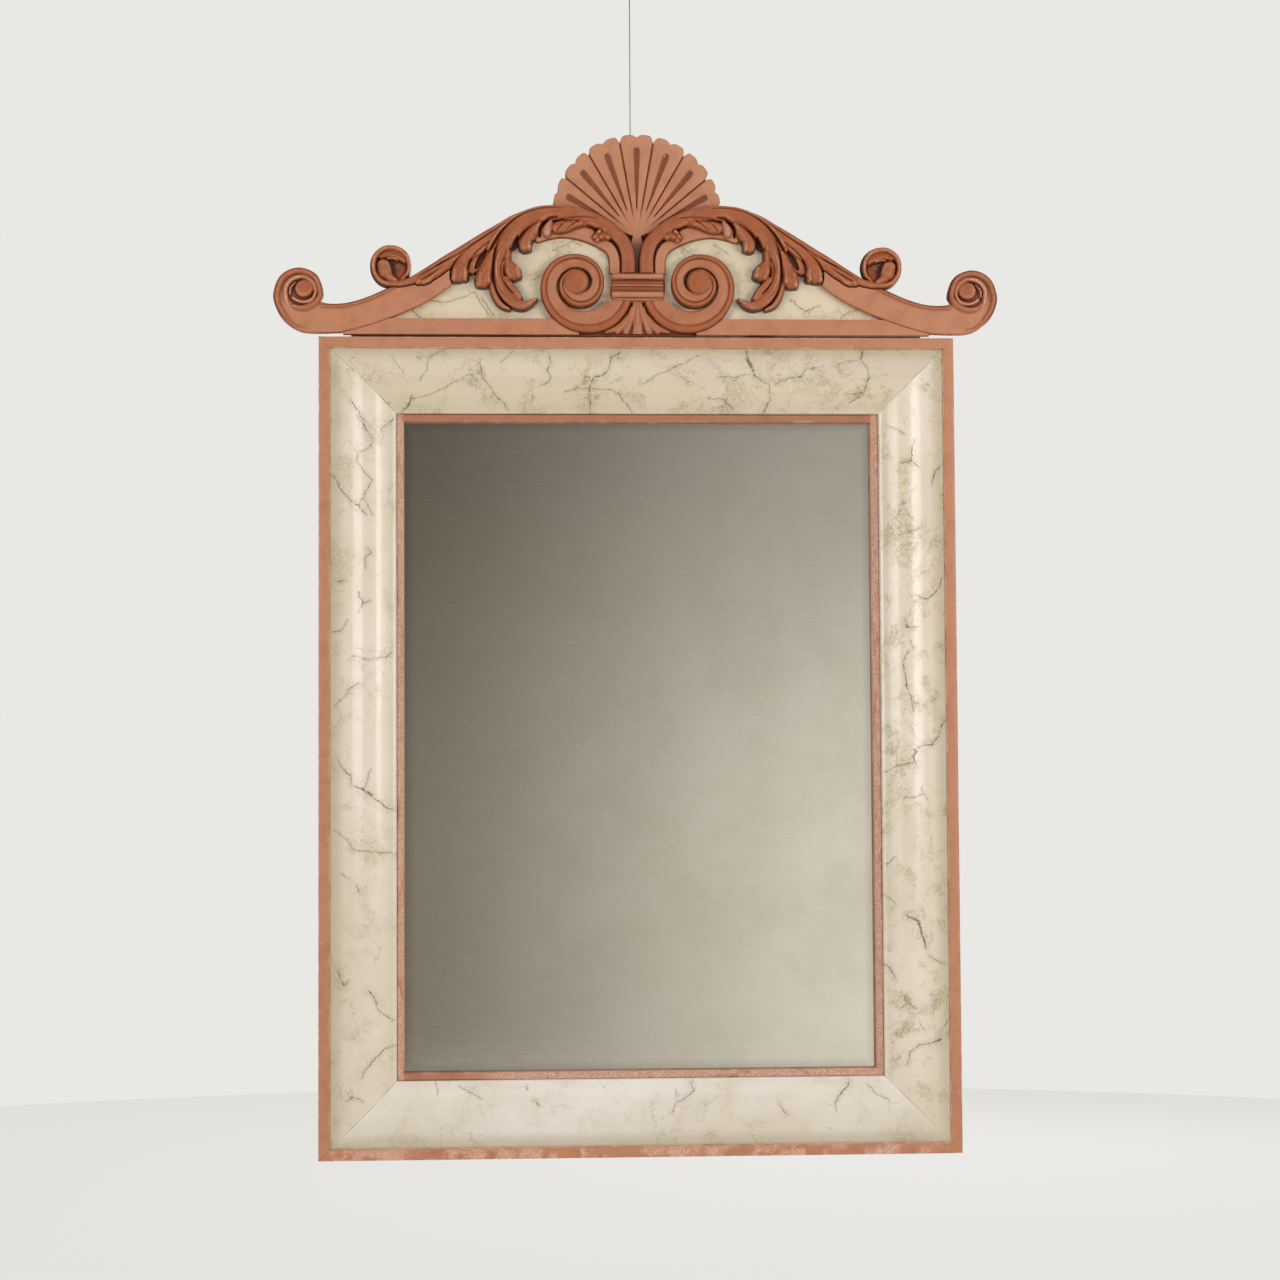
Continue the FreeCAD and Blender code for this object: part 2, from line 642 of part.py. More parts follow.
def build():
    nodes = {}
    members = four_members(mould_profile())
    slots = corner_triangles(KEY_LEG + FIT, OVERCUT, -KEY_BACK + FIT, -(KEY_BACK + KEY_T) - FIT)
    buttons = turn_button_places()
    button_axes = [(x, z) for x, z, along_x in buttons]
    battens = batten_screw_places()
    for side, member in members.items():
        member = member.cut(slots)
        member = drill(member, button_axes, STEP_BACK + BUTTON_T, BUTTON_T + BUTTON_SCREW_L)
        if side == "top":
            member = member.cut([batten_housing(-BATTEN_OUT), batten_housing(BATTEN_OUT)])
            member = drill(member, battens, -HEAD_SINK, BATTEN_SCREW_L)
        kind = "rail" if side in ("top", "bottom") else "stile"
        nodes["frame_" + kind + "_" + side] = member
    for side, member in four_members(slip_profile()).items():
        nodes["slip_" + side] = member
    nodes["corner_keys"] = Part.makeCompound(corner_triangles(KEY_LEG, 0.0, -KEY_BACK, -(KEY_BACK + KEY_T)))

    inset = RABBET_IN + GLASS_CLEAR
    opening = (-FRAME_W / 2 + inset, FRAME_W / 2 - inset)
    height = (inset, FRAME_H - inset)
    nodes["mirror_glass"] = box(*opening, GLASS_FRONT, GLASS_FRONT + GLASS_T, *height)
    nodes["backboard"] = box(*opening, GLASS_FRONT + GLASS_T, STEP_BACK, *height)
    for number, (x, z, along_x) in enumerate(buttons, 1):
        nodes["turn_button_" + str(number)] = turn_button(x, z, along_x)
    button_screw_l = BUTTON_T + BUTTON_SCREW_L - BUTTON_SCREW_SPARE
    nodes["turn_button_screws"] = screws(button_axes, STEP_BACK + BUTTON_T, button_screw_l)

    scroll_cut = through_cut(grown(scroll_envelope()))
    leaf = acanthus(scroll_cut)
    leaf_cut = through_cut(grown(leaf_face())).fuse([through_cut(grown(curl_neck_face())),
                                                     curl_disc(CURL_R + SCRIBE, BOARD_BACK, BOARD_FRONT - FAR)])
    right_arm = arm(leaf_cut)
    rail = base_rail(through_cut(grown(arm_face())), scroll_cut)
    for name, piece in (("scroll", scroll()), ("acanthus", leaf), ("arm", right_arm), ("base_rail", rail)):
        nodes[name + "_right"] = piece
        nodes[name + "_left"] = mirrored(piece)
    nodes["collar_band"] = collar()
    nodes["calyx"] = calyx([scroll_cut, mirrored(scroll_cut)])
    board = plate(board_face(), BOARD_BACK, BOARD_FRONT).cut(through_cut(grown(shell_face())))
    board = drill(board, battens, -HEAD_SINK, BATTEN_SCREW_L)
    nodes["tympanum_board"] = drill(board, CLEAT_SCREWS, CLEAT_BACK, CLEAT_SCREW_L)
    fan = drill(shell(), CLEAT_SCREWS, CLEAT_BACK, CLEAT_SCREW_L)
    nodes["shell"] = drill(fan, STRAP_SCREWS, CLEAT_BACK + STRAP_T, HANGER_SCREW_L)

    nodes["batten_left"] = batten(-BATTEN_OUT)
    nodes["batten_right"] = batten(BATTEN_OUT)
    nodes["batten_screws"] = screws(battens, -HEAD_SINK, BATTEN_SCREW_L)
    cleat = box(HANGER_X - CLEAT_W / 2, HANGER_X + CLEAT_W / 2, BOARD_BACK, CLEAT_BACK,
                CREST_Z + CLEAT_UP, CREST_Z + CLEAT_UP + CLEAT_H)
    cleat = drill(cleat, CLEAT_SCREWS, CLEAT_BACK, CLEAT_SCREW_L)
    nodes["shell_cleat"] = drill(cleat, STRAP_SCREWS, CLEAT_BACK + STRAP_T, HANGER_SCREW_L)
    nodes["cleat_screws"] = screws(CLEAT_SCREWS, CLEAT_BACK, CLEAT_SCREW_L)
    nodes["hanger_strap"] = strap()
    nodes["hanger_screws"] = screws(STRAP_SCREWS, CLEAT_BACK + STRAP_T, HANGER_SCREW_L)
    nodes["hanger_ring"] = ring()
    nodes["wire_loop"] = wire_loop()
    nodes["wire_sleeve"] = sleeve()
    nodes["hanging_wire"] = rod(WIRE_R, WIRE_ROUTE[0], WIRE_ROUTE[1])
    nodes["wire_eye"] = wire_eye()
    return nodes


os.makedirs("parts", exist_ok=True)
for node, shape in build().items():
    print(node, len(shape.Solids), shape.isValid(), round(shape.Volume))
    shape.exportStep("parts/" + node + ".step")
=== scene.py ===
import math

import bmesh
import bpy
import numpy as np
from mathutils import Matrix, Vector, noise


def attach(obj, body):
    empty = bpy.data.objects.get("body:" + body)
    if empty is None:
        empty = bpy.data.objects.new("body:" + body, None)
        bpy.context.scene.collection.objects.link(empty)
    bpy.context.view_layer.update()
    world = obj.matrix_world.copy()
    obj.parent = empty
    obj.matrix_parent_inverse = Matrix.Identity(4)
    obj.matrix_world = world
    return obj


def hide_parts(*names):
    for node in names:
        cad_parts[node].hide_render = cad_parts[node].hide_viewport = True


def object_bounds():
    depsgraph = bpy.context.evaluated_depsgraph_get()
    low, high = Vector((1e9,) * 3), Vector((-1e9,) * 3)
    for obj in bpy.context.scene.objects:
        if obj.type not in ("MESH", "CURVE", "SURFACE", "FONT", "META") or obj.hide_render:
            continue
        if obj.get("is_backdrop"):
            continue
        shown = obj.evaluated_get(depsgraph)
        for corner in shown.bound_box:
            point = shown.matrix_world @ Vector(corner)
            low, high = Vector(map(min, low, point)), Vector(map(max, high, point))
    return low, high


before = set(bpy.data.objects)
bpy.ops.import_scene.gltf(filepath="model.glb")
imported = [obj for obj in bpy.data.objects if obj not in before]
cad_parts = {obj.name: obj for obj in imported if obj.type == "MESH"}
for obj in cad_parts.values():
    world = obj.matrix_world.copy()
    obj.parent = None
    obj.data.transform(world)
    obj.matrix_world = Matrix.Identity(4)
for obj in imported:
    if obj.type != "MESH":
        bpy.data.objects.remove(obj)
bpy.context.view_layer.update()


# The frame: two rails and two stiles of moulded softwood, mitred and keyed at the corners. The outer fillet
# and the sides are painted salmon, the hollow-and-round face is marbled in glazes over cream, the back is
# bare wood.
FRAME_W = 0.755
FRAME_H = 0.966
FILLET_W = 0.0133
MITRE_GAP = 0.0001
MEMBER_ROWS = 181
MEMBER_SHARP = 40
HAND_WOBBLE = 0.00022
FRONT_STEP = 0.0016
MOULD_FRONT = [(0.0133, 0.0375), (0.0205, 0.0416), (0.032, 0.0465), (0.044, 0.0508), (0.056, 0.053),
               (0.068, 0.0515), (0.080, 0.046), (0.088, 0.0405)]
MOULD_BEAD = [(0.0893, 0.0401), (0.0905, 0.0393), (0.0912, 0.0382), (0.0915, 0.037)]
MOULD_BACK = [(0.0915, 0.018), (0.084, 0.018), (0.084, 0.009), (0.045, 0.009), (0.045, 0.0), (0.0, 0.0)]
MOULD_FILLET = [(0.0, 0.0392), (0.0003, 0.0398), (0.0009, 0.04), (0.0045, 0.04), (0.009, 0.04),
                (0.0127, 0.04), (0.0131, 0.0398), (0.0133, 0.0394)]
HOUSING_U = 0.150
HOUSING_W = 0.0322
HOUSING_FOOT = 0.92395
HOUSING_DEPTH = 0.012
KEY_LEG = 0.040
KEY_BACK = 0.01795
KEY_FRONT = 0.02205
OVERCUT = 0.001


def srgb(red, green, blue):
    """A matched paint colour, 0 to 255, as Blender's linear colour."""
    linear = []
    for value in (red, green, blue):
        share = value / 255
        linear.append(share / 12.92 if share <= 0.04045 else ((share + 0.055) / 1.055) ** 2.4)
    return (*linear, 1.0)


def smooth_run(points, step):
    """Closely spaced points of the smooth curve through the given ones, which start with a place."""
    knots = np.array(points, float)
    knots = np.vstack([2 * knots[0] - knots[1], knots, 2 * knots[-1] - knots[-2]])
    run = []
    for a, b, c, d in zip(knots, knots[1:], knots[2:], knots[3:]):
        count = max(1, round(float(np.linalg.norm((c - b)[:2])) / step))
        t = (np.arange(count) / count)[:, None]
        run.append(b + (c - a) * t / 2 + (a - 2.5 * b + 2 * c - d / 2) * t ** 2
                   + (1.5 * (b - c) + (d - a) / 2) * t ** 3)
    return np.vstack(run + [knots[-2:-1]])


def new_piece(name, points, faces, sharp_degrees):
    """A linked mesh object, smooth-shaded but for edges sharper than the angle."""
    mesh = bpy.data.meshes.new(name)
    mesh.from_pydata([tuple(p) for p in points], [], faces)
    tidy = bmesh.new()
    tidy.from_mesh(mesh)
    bmesh.ops.recalc_face_normals(tidy, faces=tidy.faces)
    tidy.to_mesh(mesh)
    tidy.free()
    mesh.shade_smooth()
    mesh.set_sharp_from_angle(angle=math.radians(sharp_degrees))
    piece = bpy.data.objects.new(name, mesh)
    bpy.context.scene.collection.objects.link(piece)
    return piece


def swept_faces(rows, count):
    """Faces of a closed section of so many points that is repeated in rows, with both ends."""
    last = (rows - 1) * count
    faces = [(row + i, row + (i + 1) % count, row + count + (i + 1) % count, row + count + i)
             for row in range(0, last, count) for i in range(count)]
    return faces + [tuple(range(count)), tuple(range(last + count - 1, last - 1, -1))]


def mitred_member(name, section, side):
    """A section of (inward, height) points swept along one side of the frame and mitred at both ends."""
    across = side in ("top", "bottom")
    length = FRAME_W if across else FRAME_H
    points = []
    for share in np.linspace(-1, 1, MEMBER_ROWS):
        for inward, height in section:
            along = share * (length / 2 - inward - MITRE_GAP)
            if side == "bottom":
                place = Vector((along, -height, inward))
            elif side == "top":
                place = Vector((along, -height, FRAME_H - inward))
            else:
                out = FRAME_W / 2 - inward
                place = Vector((-out if side == "left" else out, -height, FRAME_H / 2 + along))
            if height > HOUSING_DEPTH:
                place.y += HAND_WOBBLE * (noise.noise(place * 22) + 0.6 * noise.noise(place * 90))
            points.append(place)
    return new_piece(name, points, swept_faces(MEMBER_ROWS, len(section)), MEMBER_SHARP)


def cut_away(piece, corners, depth_from, depth_to):
    """Cuts a straight-sided pocket out of a piece: corners are (x, z) points, the depths run along y."""
    count = len(corners)
    points = [(x, y, z) for y in (depth_from, depth_to) for x, z in corners]
    faces = [tuple(range(count)), tuple(range(2 * count - 1, count - 1, -1))]
    faces += [(i, (i + 1) % count, count + (i + 1) % count, count + i) for i in range(count)]
    cutter = new_piece("cutter", points, faces, MEMBER_SHARP)
    pocket = piece.modifiers.new("pocket", "BOOLEAN")
    pocket.operation = "DIFFERENCE"
    pocket.solver = "EXACT"
    pocket.object = cutter
    bpy.context.view_layer.update()
    cut = bpy.data.meshes.new_from_object(piece.evaluated_get(bpy.context.evaluated_depsgraph_get()))
    piece.modifiers.clear()
    piece.data = cut
    bpy.data.objects.remove(cutter)


def add(tree, kind, settings=None, sockets=None):
    """Adds a shader node. Its sockets take plain values or the outputs of other nodes."""
    node = tree.nodes.new("ShaderNode" + kind)
    for name, value in (settings or {}).items():
        setattr(node, name, value)
    for key, value in (sockets or {}).items():
        if isinstance(value, bpy.types.NodeSocket):
            tree.links.new(value, node.inputs[key])
        else:
            node.inputs[key].default_value = value
    return node


def tree_of(*values):
    """The node tree that the linked ones of these values come from."""
    return next(value.id_data for value in values if isinstance(value, bpy.types.NodeSocket))


def calc(operation, *values):
    """What a maths node puts out."""
    return add(tree_of(*values), "Math", {"operation": operation}, dict(enumerate(values))).outputs[0]


def times(a, b):
    return calc("MULTIPLY", a, b)


def plus(a, b):
    return calc("ADD", a, b)


def minus(a, b):
    return calc("SUBTRACT", a, b)


def opposite(a):
    return minus(1.0, a)


def least(a, b):
    return calc("MINIMUM", a, b)


def most(a, b):
    return calc("MAXIMUM", a, b)


def vectors(operation, *values, output="Vector"):
    """What a vector maths node puts out."""
    node = add(tree_of(*values), "VectorMath", {"operation": operation}, dict(enumerate(values)))
    return node.outputs[output]


def stretch(vector, by):
    return vectors("MULTIPLY", vector, by)


def parts_of(vector):
    return add(vector.id_data, "SeparateXYZ", {}, {0: vector}).outputs


def ramp(value, low, high):
    """0 at low, 1 at high, eased between."""
    return add(value.id_data, "MapRange", {"interpolation_type": "SMOOTHSTEP"},
               {"Value": value, "From Min": low, "From Max": high}).outputs["Result"]


def blend(share, a, b):
    """Colour a where the share is 0, b where it is 1."""
    return add(tree_of(share, a, b), "Mix", {"data_type": "RGBA"}, {0: share, 6: a, 7: b}).outputs[2]


def mottle(vector, scale, detail, roughness=0.5, output=0):
    """Cloudy noise: output 0 is a value, 1 a colour to move places by."""
    return add(vector.id_data, "TexNoise", {}, {"Vector": vector, "Scale": scale, "Detail": detail,
                                                "Roughness": roughness}).outputs[output]


SURFACE = {"Colour": "Color", "Roughness": "Float", "Height": "Float"}


def over(share, front, back):
    """Two finishes in one: front where the share is 0, back where it is 1."""
    return {channel: blend(share, front[channel], back[channel]) for channel in SURFACE}


def link(source, target):
    source.id_data.links.new(source, target)


def shared_effect(name, inputs, outputs):
    """An empty shader node group with these sockets; returns its tree, its inputs and its output node."""
    tree = bpy.data.node_groups.new(name, "ShaderNodeTree")
    for kind, sockets in (("INPUT", inputs), ("OUTPUT", outputs)):
        for socket, socket_type in sockets.items():
            tree.interface.new_socket(socket, in_out=kind, socket_type="NodeSocket" + socket_type)
    return tree, tree.nodes.new("NodeGroupInput").outputs, tree.nodes.new("NodeGroupOutput")


def use_effect(effect, sockets):
    return add(sockets["Where"].id_data, "Group", {"node_tree": effect}, sockets).outputs


def put_out(result, **channels):
    """Links what a shared effect makes to its output node."""
    for name, socket in channels.items():
        link(socket, result.inputs[name])


def new_material(name):
    """A material, its Principled shader, and the object's own coordinates and normals."""
    material = bpy.data.materials.new(name)
    material.use_nodes = True
    nodes = material.node_tree.nodes
    return material, nodes["Principled BSDF"], nodes.new("ShaderNodeTexCoord").outputs


def finish_surface(shader, finish, relief):
    """Links a finish to the shader; relief is the depth in metres that a height of 1 stands for."""
    link(finish["Colour"], shader.inputs["Base Color"])
    link(finish["Roughness"], shader.inputs["Roughness"])
    bump = add(shader.id_data, "Bump", {}, {"Height": finish["Height"], "Distance": relief, "Strength": 1.0})
    link(bump.outputs[0], shader.inputs["Normal"])


# Old paint: brushed unevenly, washed dark in the hollows as glaze and as painted shade, rubbed pale on the
# ridges as wear and as painted highlight, with a few chips
old_paint, given, result = shared_effect(
    "old_paint", {"Where": "Vector", "Paint": "Color", "Glaze_And_Shade": "Color", "Pale_Wear_And_Highlight": "Color",
                  "Hollow": "Float", "Ridge": "Float"}, SURFACE)
brush = mottle(given["Where"], 55, 5, 0.6)
fine = mottle(given["Where"], 420, 3, 0.6)
darker = blend(0.42, given["Paint"], given["Glaze_And_Shade"])
coat = blend(times(ramp(brush, 0.42, 0.72), 0.55), given["Paint"], darker)
# The dark wash in the hollows is glaze and painted shade
deep = times(ramp(given["Hollow"], 0.03, 0.75), 0.92)
coat = blend(deep, coat, given["Glaze_And_Shade"])
# Pale rubbing on the ridges: wear, and on the carving painted highlight as well
speckled_share = plus(0.35, times(ramp(fine, 0.4, 0.62), 0.65))
wear_and_highlight = times(ramp(given["Ridge"], 0.05, 0.9), speckled_share)
coat = blend(times(wear_and_highlight, 0.75), coat, given["Pale_Wear_And_Highlight"])
chips = ramp(mottle(given["Where"], 260, 2, 0.5), 0.735, 0.755)
coat = blend(times(chips, 0.6), coat, given["Pale_Wear_And_Highlight"])
grainy = plus(times(brush, 0.6), times(fine, 0.4))
put_out(result, Colour=coat, Roughness=plus(0.34, times(fine, 0.22)), Height=minus(grainy, chips))

# One stroke of a painted vein. Where carries a place in x and z, and in y how many half-widths away the
# nearest of the strokes before lies; the stroke passes it on with itself counted in.
vein_stroke, given, result = shared_effect(
    "vein_stroke", {"Where": "Vector", "From": "Vector", "To": "Vector", "From Half": "Float",
                    "To Half": "Float"}, {"Where": "Vector"})
along = vectors("SUBTRACT", given["To"], given["From"])
out = vectors("SUBTRACT", stretch(given["Where"], (1.0, 0.0, 1.0)), given["From"])
passed, whole = [vectors("DOT_PRODUCT", a, along, output="Value") for a in (out, along)]
share = add(vein_stroke, "Math", {"operation": "DIVIDE", "use_clamp": True}, {0: passed, 1: whole}).outputs[0]
foot = add(vein_stroke, "VectorMath", {"operation": "SCALE"}, {0: along, "Scale": share}).outputs[0]
apart = vectors("DISTANCE", out, foot, output="Value")
swell = times(minus(given["To Half"], given["From Half"]), share)
apart = calc("DIVIDE", apart, plus(given["From Half"], swell))
x, nearest, z = parts_of(given["Where"])
passed_on = add(vein_stroke, "CombineXYZ", {}, {0: x, 1: least(nearest, apart), 2: z}).outputs[0]
put_out(result, Where=passed_on)

# Marbling: a cream ground scumbled with olive, then dark broken veins with a soft stain beside them
marbling, given, result = shared_effect(
    "marbling", {"Where": "Vector", "Ground": "Color", "Cloud": "Float", "Apart": "Float"}, SURFACE)
drift = mottle(given["Where"], 16, 6, 0.65, output=1)
bent = vectors("MULTIPLY_ADD", drift, (0.09,) * 3, given["Where"])
uneven = times(ramp(mottle(given["Where"], 9, 4), 0.35, 0.68), 0.42)
ground = blend(uneven, given["Ground"], srgb(204, 188, 156))
cloud = mottle(bent, 24, 6, 0.62)
smudge = mottle(given["Where"], 330, 4, 0.7)
broken = ramp(mottle(given["Where"], 170, 3, 0.6), 0.36, 0.56)
cloudy = times(ramp(cloud, 0.48, 0.72), given["Cloud"])
dry = times(cloudy, ramp(smudge, 0.4, 0.62))
ground = blend(times(cloudy, 0.5), ground, srgb(194, 178, 140))
ground = blend(times(dry, 0.7), ground, srgb(152, 138, 104))
edge = add(marbling, "TexVoronoi", {"feature": "DISTANCE_TO_EDGE"}, {"Vector": bent, "Scale": 17}).outputs[0]
here_and_there = ramp(mottle(given["Where"], 21, 3), 0.5, 0.62)
hairline = times(opposite(ramp(edge, 0.002, 0.012)), here_and_there)
ground = blend(times(hairline, 0.5), ground, srgb(138, 120, 90))
ragged = plus(given["Apart"], times(minus(smudge, 0.5), 1.8))
stain = opposite(ramp(given["Apart"], 0.5, 11.0))
stain = times(stain, ramp(smudge, 0.34, 0.66))
ground = blend(times(stain, 0.5), ground, srgb(166, 150, 116))
vein = opposite(ramp(ragged, 0.3, 1.4))
vein = times(vein, plus(0.25, times(broken, 0.7)))
ground = blend(vein, ground, srgb(98, 84, 64))
gloss = plus(0.36, times(smudge, 0.16))
brushed = mottle(given["Where"], 75, 4)
put_out(result, Colour=ground, Roughness=plus(gloss, times(cloudy, 0.12)),
        Height=minus(brushed, times(vein, 0.3)))

# Bare softwood: long grain, darkened by age and handling
bare_grain, given, result = shared_effect("bare_grain", {"Where": "Vector"}, SURFACE)
rings = add(bare_grain, "TexWave", {"wave_type": "BANDS", "bands_direction": "X"},
            {"Vector": given["Where"], "Scale": 15, "Distortion": 9.0, "Detail": 4,
             "Detail Scale": 1.1}).outputs[1]
pores = mottle(stretch(given["Where"], (9.0, 9.0, 1.0)), 95, 4, 0.65)
stain = mottle(given["Where"], 6, 4)
ringed = times(rings, ramp(mottle(given["Where"], 14, 3), 0.3, 0.75))
timber = blend(times(ringed, 0.7), srgb(176, 138, 94), srgb(126, 90, 56))
timber = blend(times(ramp(pores, 0.5, 0.75), 0.5), timber, srgb(92, 64, 40))
timber = blend(times(ramp(stain, 0.45, 0.75), 0.45), timber, srgb(84, 62, 44))
put_out(result, Colour=timber, Roughness=plus(0.62, times(pores, 0.25)), Height=minus(rings, pores))
FIBRE_STRETCH = 0.11


def along_grain(here, axis):
    """Coordinates for the bare grain, whose fibres run up its own z, with them along the piece's axis."""
    x, y, z = parts_of(here)
    across = x if axis == "z" else z
    length = times(z if axis == "z" else x, FIBRE_STRETCH)
    return add(here.id_data, "CombineXYZ", {}, {0: across, 1: y, 2: length}).outputs[0]


SALMON = srgb(186, 125, 90)
SALMON_GLAZE_AND_SHADE = srgb(126, 60, 32)
SALMON_WEAR_AND_HIGHLIGHT = srgb(228, 190, 166)


# Veins painted on each member, as runs of (x, z, half-width) in millimetres. Each was placed after the
# main veins of the real frame.
VEINS_TOP = [
    [(-237, 949, 0.45), (-249, 937, 0.45), (-250, 925, 0.3), (-258, 912, 0.3)],
    [(-149, 949, 0.45), (-162, 934, 0.3)],
    [(-187, 939, 0.45), (-186, 925, 0.7), (-192, 920, 0.7), (-208, 915, 0.3), (-229, 903, 0.45),
     (-246, 896, 0.3), (-267, 890, 0.45)],
    [(-267, 894, 0.7), (-271, 885, 1.8), (-280, 876, 0.45)],
    [(-186, 922, 0.45), (-178, 908, 0.45), (-170, 896, 0.45), (-159, 886, 0.7), (-154, 876, 0.3)],
    [(-105, 944, 0.7), (-104, 934, 0.7), (-108, 925, 1), (-103, 918, 0.45), (-107, 911, 0.7),
     (-117, 906, 0.45)],
    [(-22, 947, 0.7), (-32, 942, 0.7), (-35, 929, 0.7), (-42, 918, 1), (-53, 916, 0.7), (-58, 903, 1),
     (-60, 895, 1), (-56, 887, 0.7), (-58, 873, 0.7)],
    [(-57, 903, 0.45), (-72, 904, 0.3), (-87, 899, 0.3)],
    [(-55, 903, 0.7), (-34, 901, 0.45), (-22, 897, 0.7), (-18, 889, 0.45), (-7, 876, 0.45)],
    [(-125, 895, 0.7), (-128, 886, 0.3)], [(-361, 910, 1.8), (-356, 919, 0.7), (-353, 922, 0.7)],
    [(-323, 900, 0.3), (-308, 892, 0.45), (-294, 886, 0.3)],
    [(-293, 943, 0.3), (-284, 932, 0.3), (-276, 920, 0.3)],
    [(72, 944, 0.3), (58, 936, 0.45), (38, 926, 0.45), (20, 918, 0.3), (2, 906, 0.45)],
    [(129, 949, 1.8), (130, 939, 1.8), (134, 928, 1.8), (136, 922, 1), (145, 912, 0.7), (155, 907, 0.45),
     (156, 890, 0.45), (150, 877, 1)],
    [(133, 921, 0.45), (115, 917, 0.3), (94, 917, 0.3)],
    [(220, 931, 0.3), (198, 926, 0.45), (193, 918, 1), (174, 914, 0.45), (161, 908, 0.3)],
    [(268, 950, 1.8), (266, 938, 0.7), (273, 929, 0.45), (274, 917, 0.45), (270, 908, 0.7), (268, 898, 1),
     (258, 896, 0.7), (244, 897, 0.3)],
    [(268, 896, 0.45), (250, 887, 0.45)], [(264, 939, 0.45), (246, 938, 0.3), (237, 933, 0.45)],
    [(82, 893, 0.3), (100, 890, 0.45), (112, 882, 0.3)], [(315, 901, 0.3), (324, 898, 0.45), (333, 892, 0.3)],
]
VEINS_LEFT = [
    [(-332, 872, 0.45), (-324, 859, 0.7), (-316, 848, 0.45), (-314, 837, 0.45), (-321, 830, 0.45),
     (-331, 828, 0.3), (-332, 817, 0.45), (-325, 805, 0.45), (-314, 794, 0.45)],
    [(-361, 802, 0.45), (-353, 787, 0.7), (-339, 771, 0.7), (-331, 764, 1), (-320, 753, 0.3)],
    [(-313, 794, 0.45), (-321, 781, 0.45), (-330, 764, 0.7)], [(-324, 775, 0.3), (-313, 753, 0.45)],
    [(-289, 869, 0.45), (-297, 861, 0.7), (-304, 852, 0.3)],
    [(-341, 891, 0.45), (-334, 881, 0.7), (-323, 863, 0.7)],
    [(-319, 713, 0.45), (-315, 709, 0.7), (-322, 703, 0.45), (-322, 689, 0.3)],
    [(-354, 675, 0.7), (-345, 677, 0.45)], [(-330, 663, 0.45), (-325, 649, 0.7), (-316, 652, 0.45)],
    [(-325, 649, 0.7), (-330, 639, 0.3)], [(-361, 616, 0.45), (-351, 617, 0.45), (-343, 630, 0.3)],
    [(-338, 588, 0.45), (-317, 583, 0.3), (-299, 586, 0.45), (-290, 592, 0.3)],
    [(-330, 557, 0.3), (-341, 548, 0.7), (-347, 540, 0.45), (-359, 528, 0.3)],
    [(-354, 464, 0.45), (-345, 452, 0.7), (-339, 446, 0.7), (-338, 436, 0.7), (-330, 432, 1),
     (-324, 430, 1.8), (-313, 423, 0.7), (-301, 412, 1), (-289, 406, 0.7)],
    [(-316, 455, 0.3), (-320, 440, 0.45), (-324, 430, 0.7)],
    [(-359, 384, 0.3), (-345, 374, 0.45), (-336, 361, 0.45), (-318, 359, 0.3), (-287, 356, 0.45)],
    [(-351, 333, 0.45), (-343, 327, 0.45)], [(-333, 320, 0.45), (-328, 309, 0.3)],
    [(-355, 219, 0.45), (-348, 204, 1), (-341, 209, 0.45)],
    [(-318, 197, 1), (-312, 191, 0.7), (-308, 178, 0.45), (-301, 170, 0.3), (-290, 162, 0.45)],
    [(-287, 135, 0.45), (-301, 129, 0.45), (-314, 117, 0.7), (-322, 106, 0.45), (-326, 98, 0.3)],
    [(-345, 69, 0.3), (-339, 75, 0.7), (-329, 72, 0.45), (-324, 69, 0.3)],
]
VEINS_RIGHT = [
    [(296, 861, 0.3), (315, 849, 0.45)], [(327, 842, 0.45), (324, 828, 0.7), (323, 818, 1), (312, 814, 0.45)],
    [(323, 818, 0.7), (332, 810, 0.45)], [(361, 814, 0.45), (354, 805, 0.7), (348, 789, 0.45)],
    [(313, 769, 0.3), (307, 753, 0.45)], [(305, 728, 0.3), (325, 734, 0.45), (335, 739, 0.3)],
    [(289, 715, 0.45), (300, 722, 0.3)],
    [(361, 679, 0.7), (357, 667, 1), (346, 657, 0.7), (340, 653, 1), (329, 657, 0.3), (322, 658, 0.3)],
    [(315, 626, 0.7), (317, 620, 1), (323, 618, 0.7), (329, 620, 0.3)], [(320, 605, 0.45), (324, 594, 0.7)],
    [(318, 591, 0.45), (312, 581, 0.7), (313, 567, 0.45), (316, 549, 0.7), (321, 533, 0.45),
     (328, 529, 0.45)],
    [(321, 533, 0.45), (323, 519, 0.3)],
    [(362, 508, 0.7), (356, 499, 0.7), (351, 486, 0.7), (346, 481, 1), (332, 480, 0.7), (323, 475, 1)],
    [(325, 473, 1.8), (322, 466, 1), (325, 455, 1)], [(322, 460, 0.7), (302, 455, 0.7), (289, 448, 0.45)],
    [(332, 431, 0.3), (333, 422, 0.45), (340, 415, 0.3)], [(333, 422, 0.3), (310, 417, 0.45)],
    [(291, 339, 0.45), (300, 349, 0.3)], [(287, 304, 0.3), (300, 293, 0.3)],
    [(311, 280, 0.7), (326, 273, 1.8), (330, 260, 1.8), (335, 239, 0.45)],
    [(338, 233, 0.3), (349, 225, 0.45), (361, 222, 0.45)],
    [(288, 223, 0.7), (294, 215, 0.7), (299, 205, 0.45)],
    [(306, 190, 0.45), (313, 178, 0.7), (322, 170, 0.45)], [(313, 178, 0.45), (304, 170, 0.3)],
    [(325, 158, 0.3), (331, 146, 0.3)],
    [(351, 134, 1.8), (345, 131, 1), (334, 128, 0.7), (325, 128, 0.7), (315, 120, 0.45), (310, 105, 0.45)],
    [(363, 158, 0.45), (354, 144, 0.3)],
]
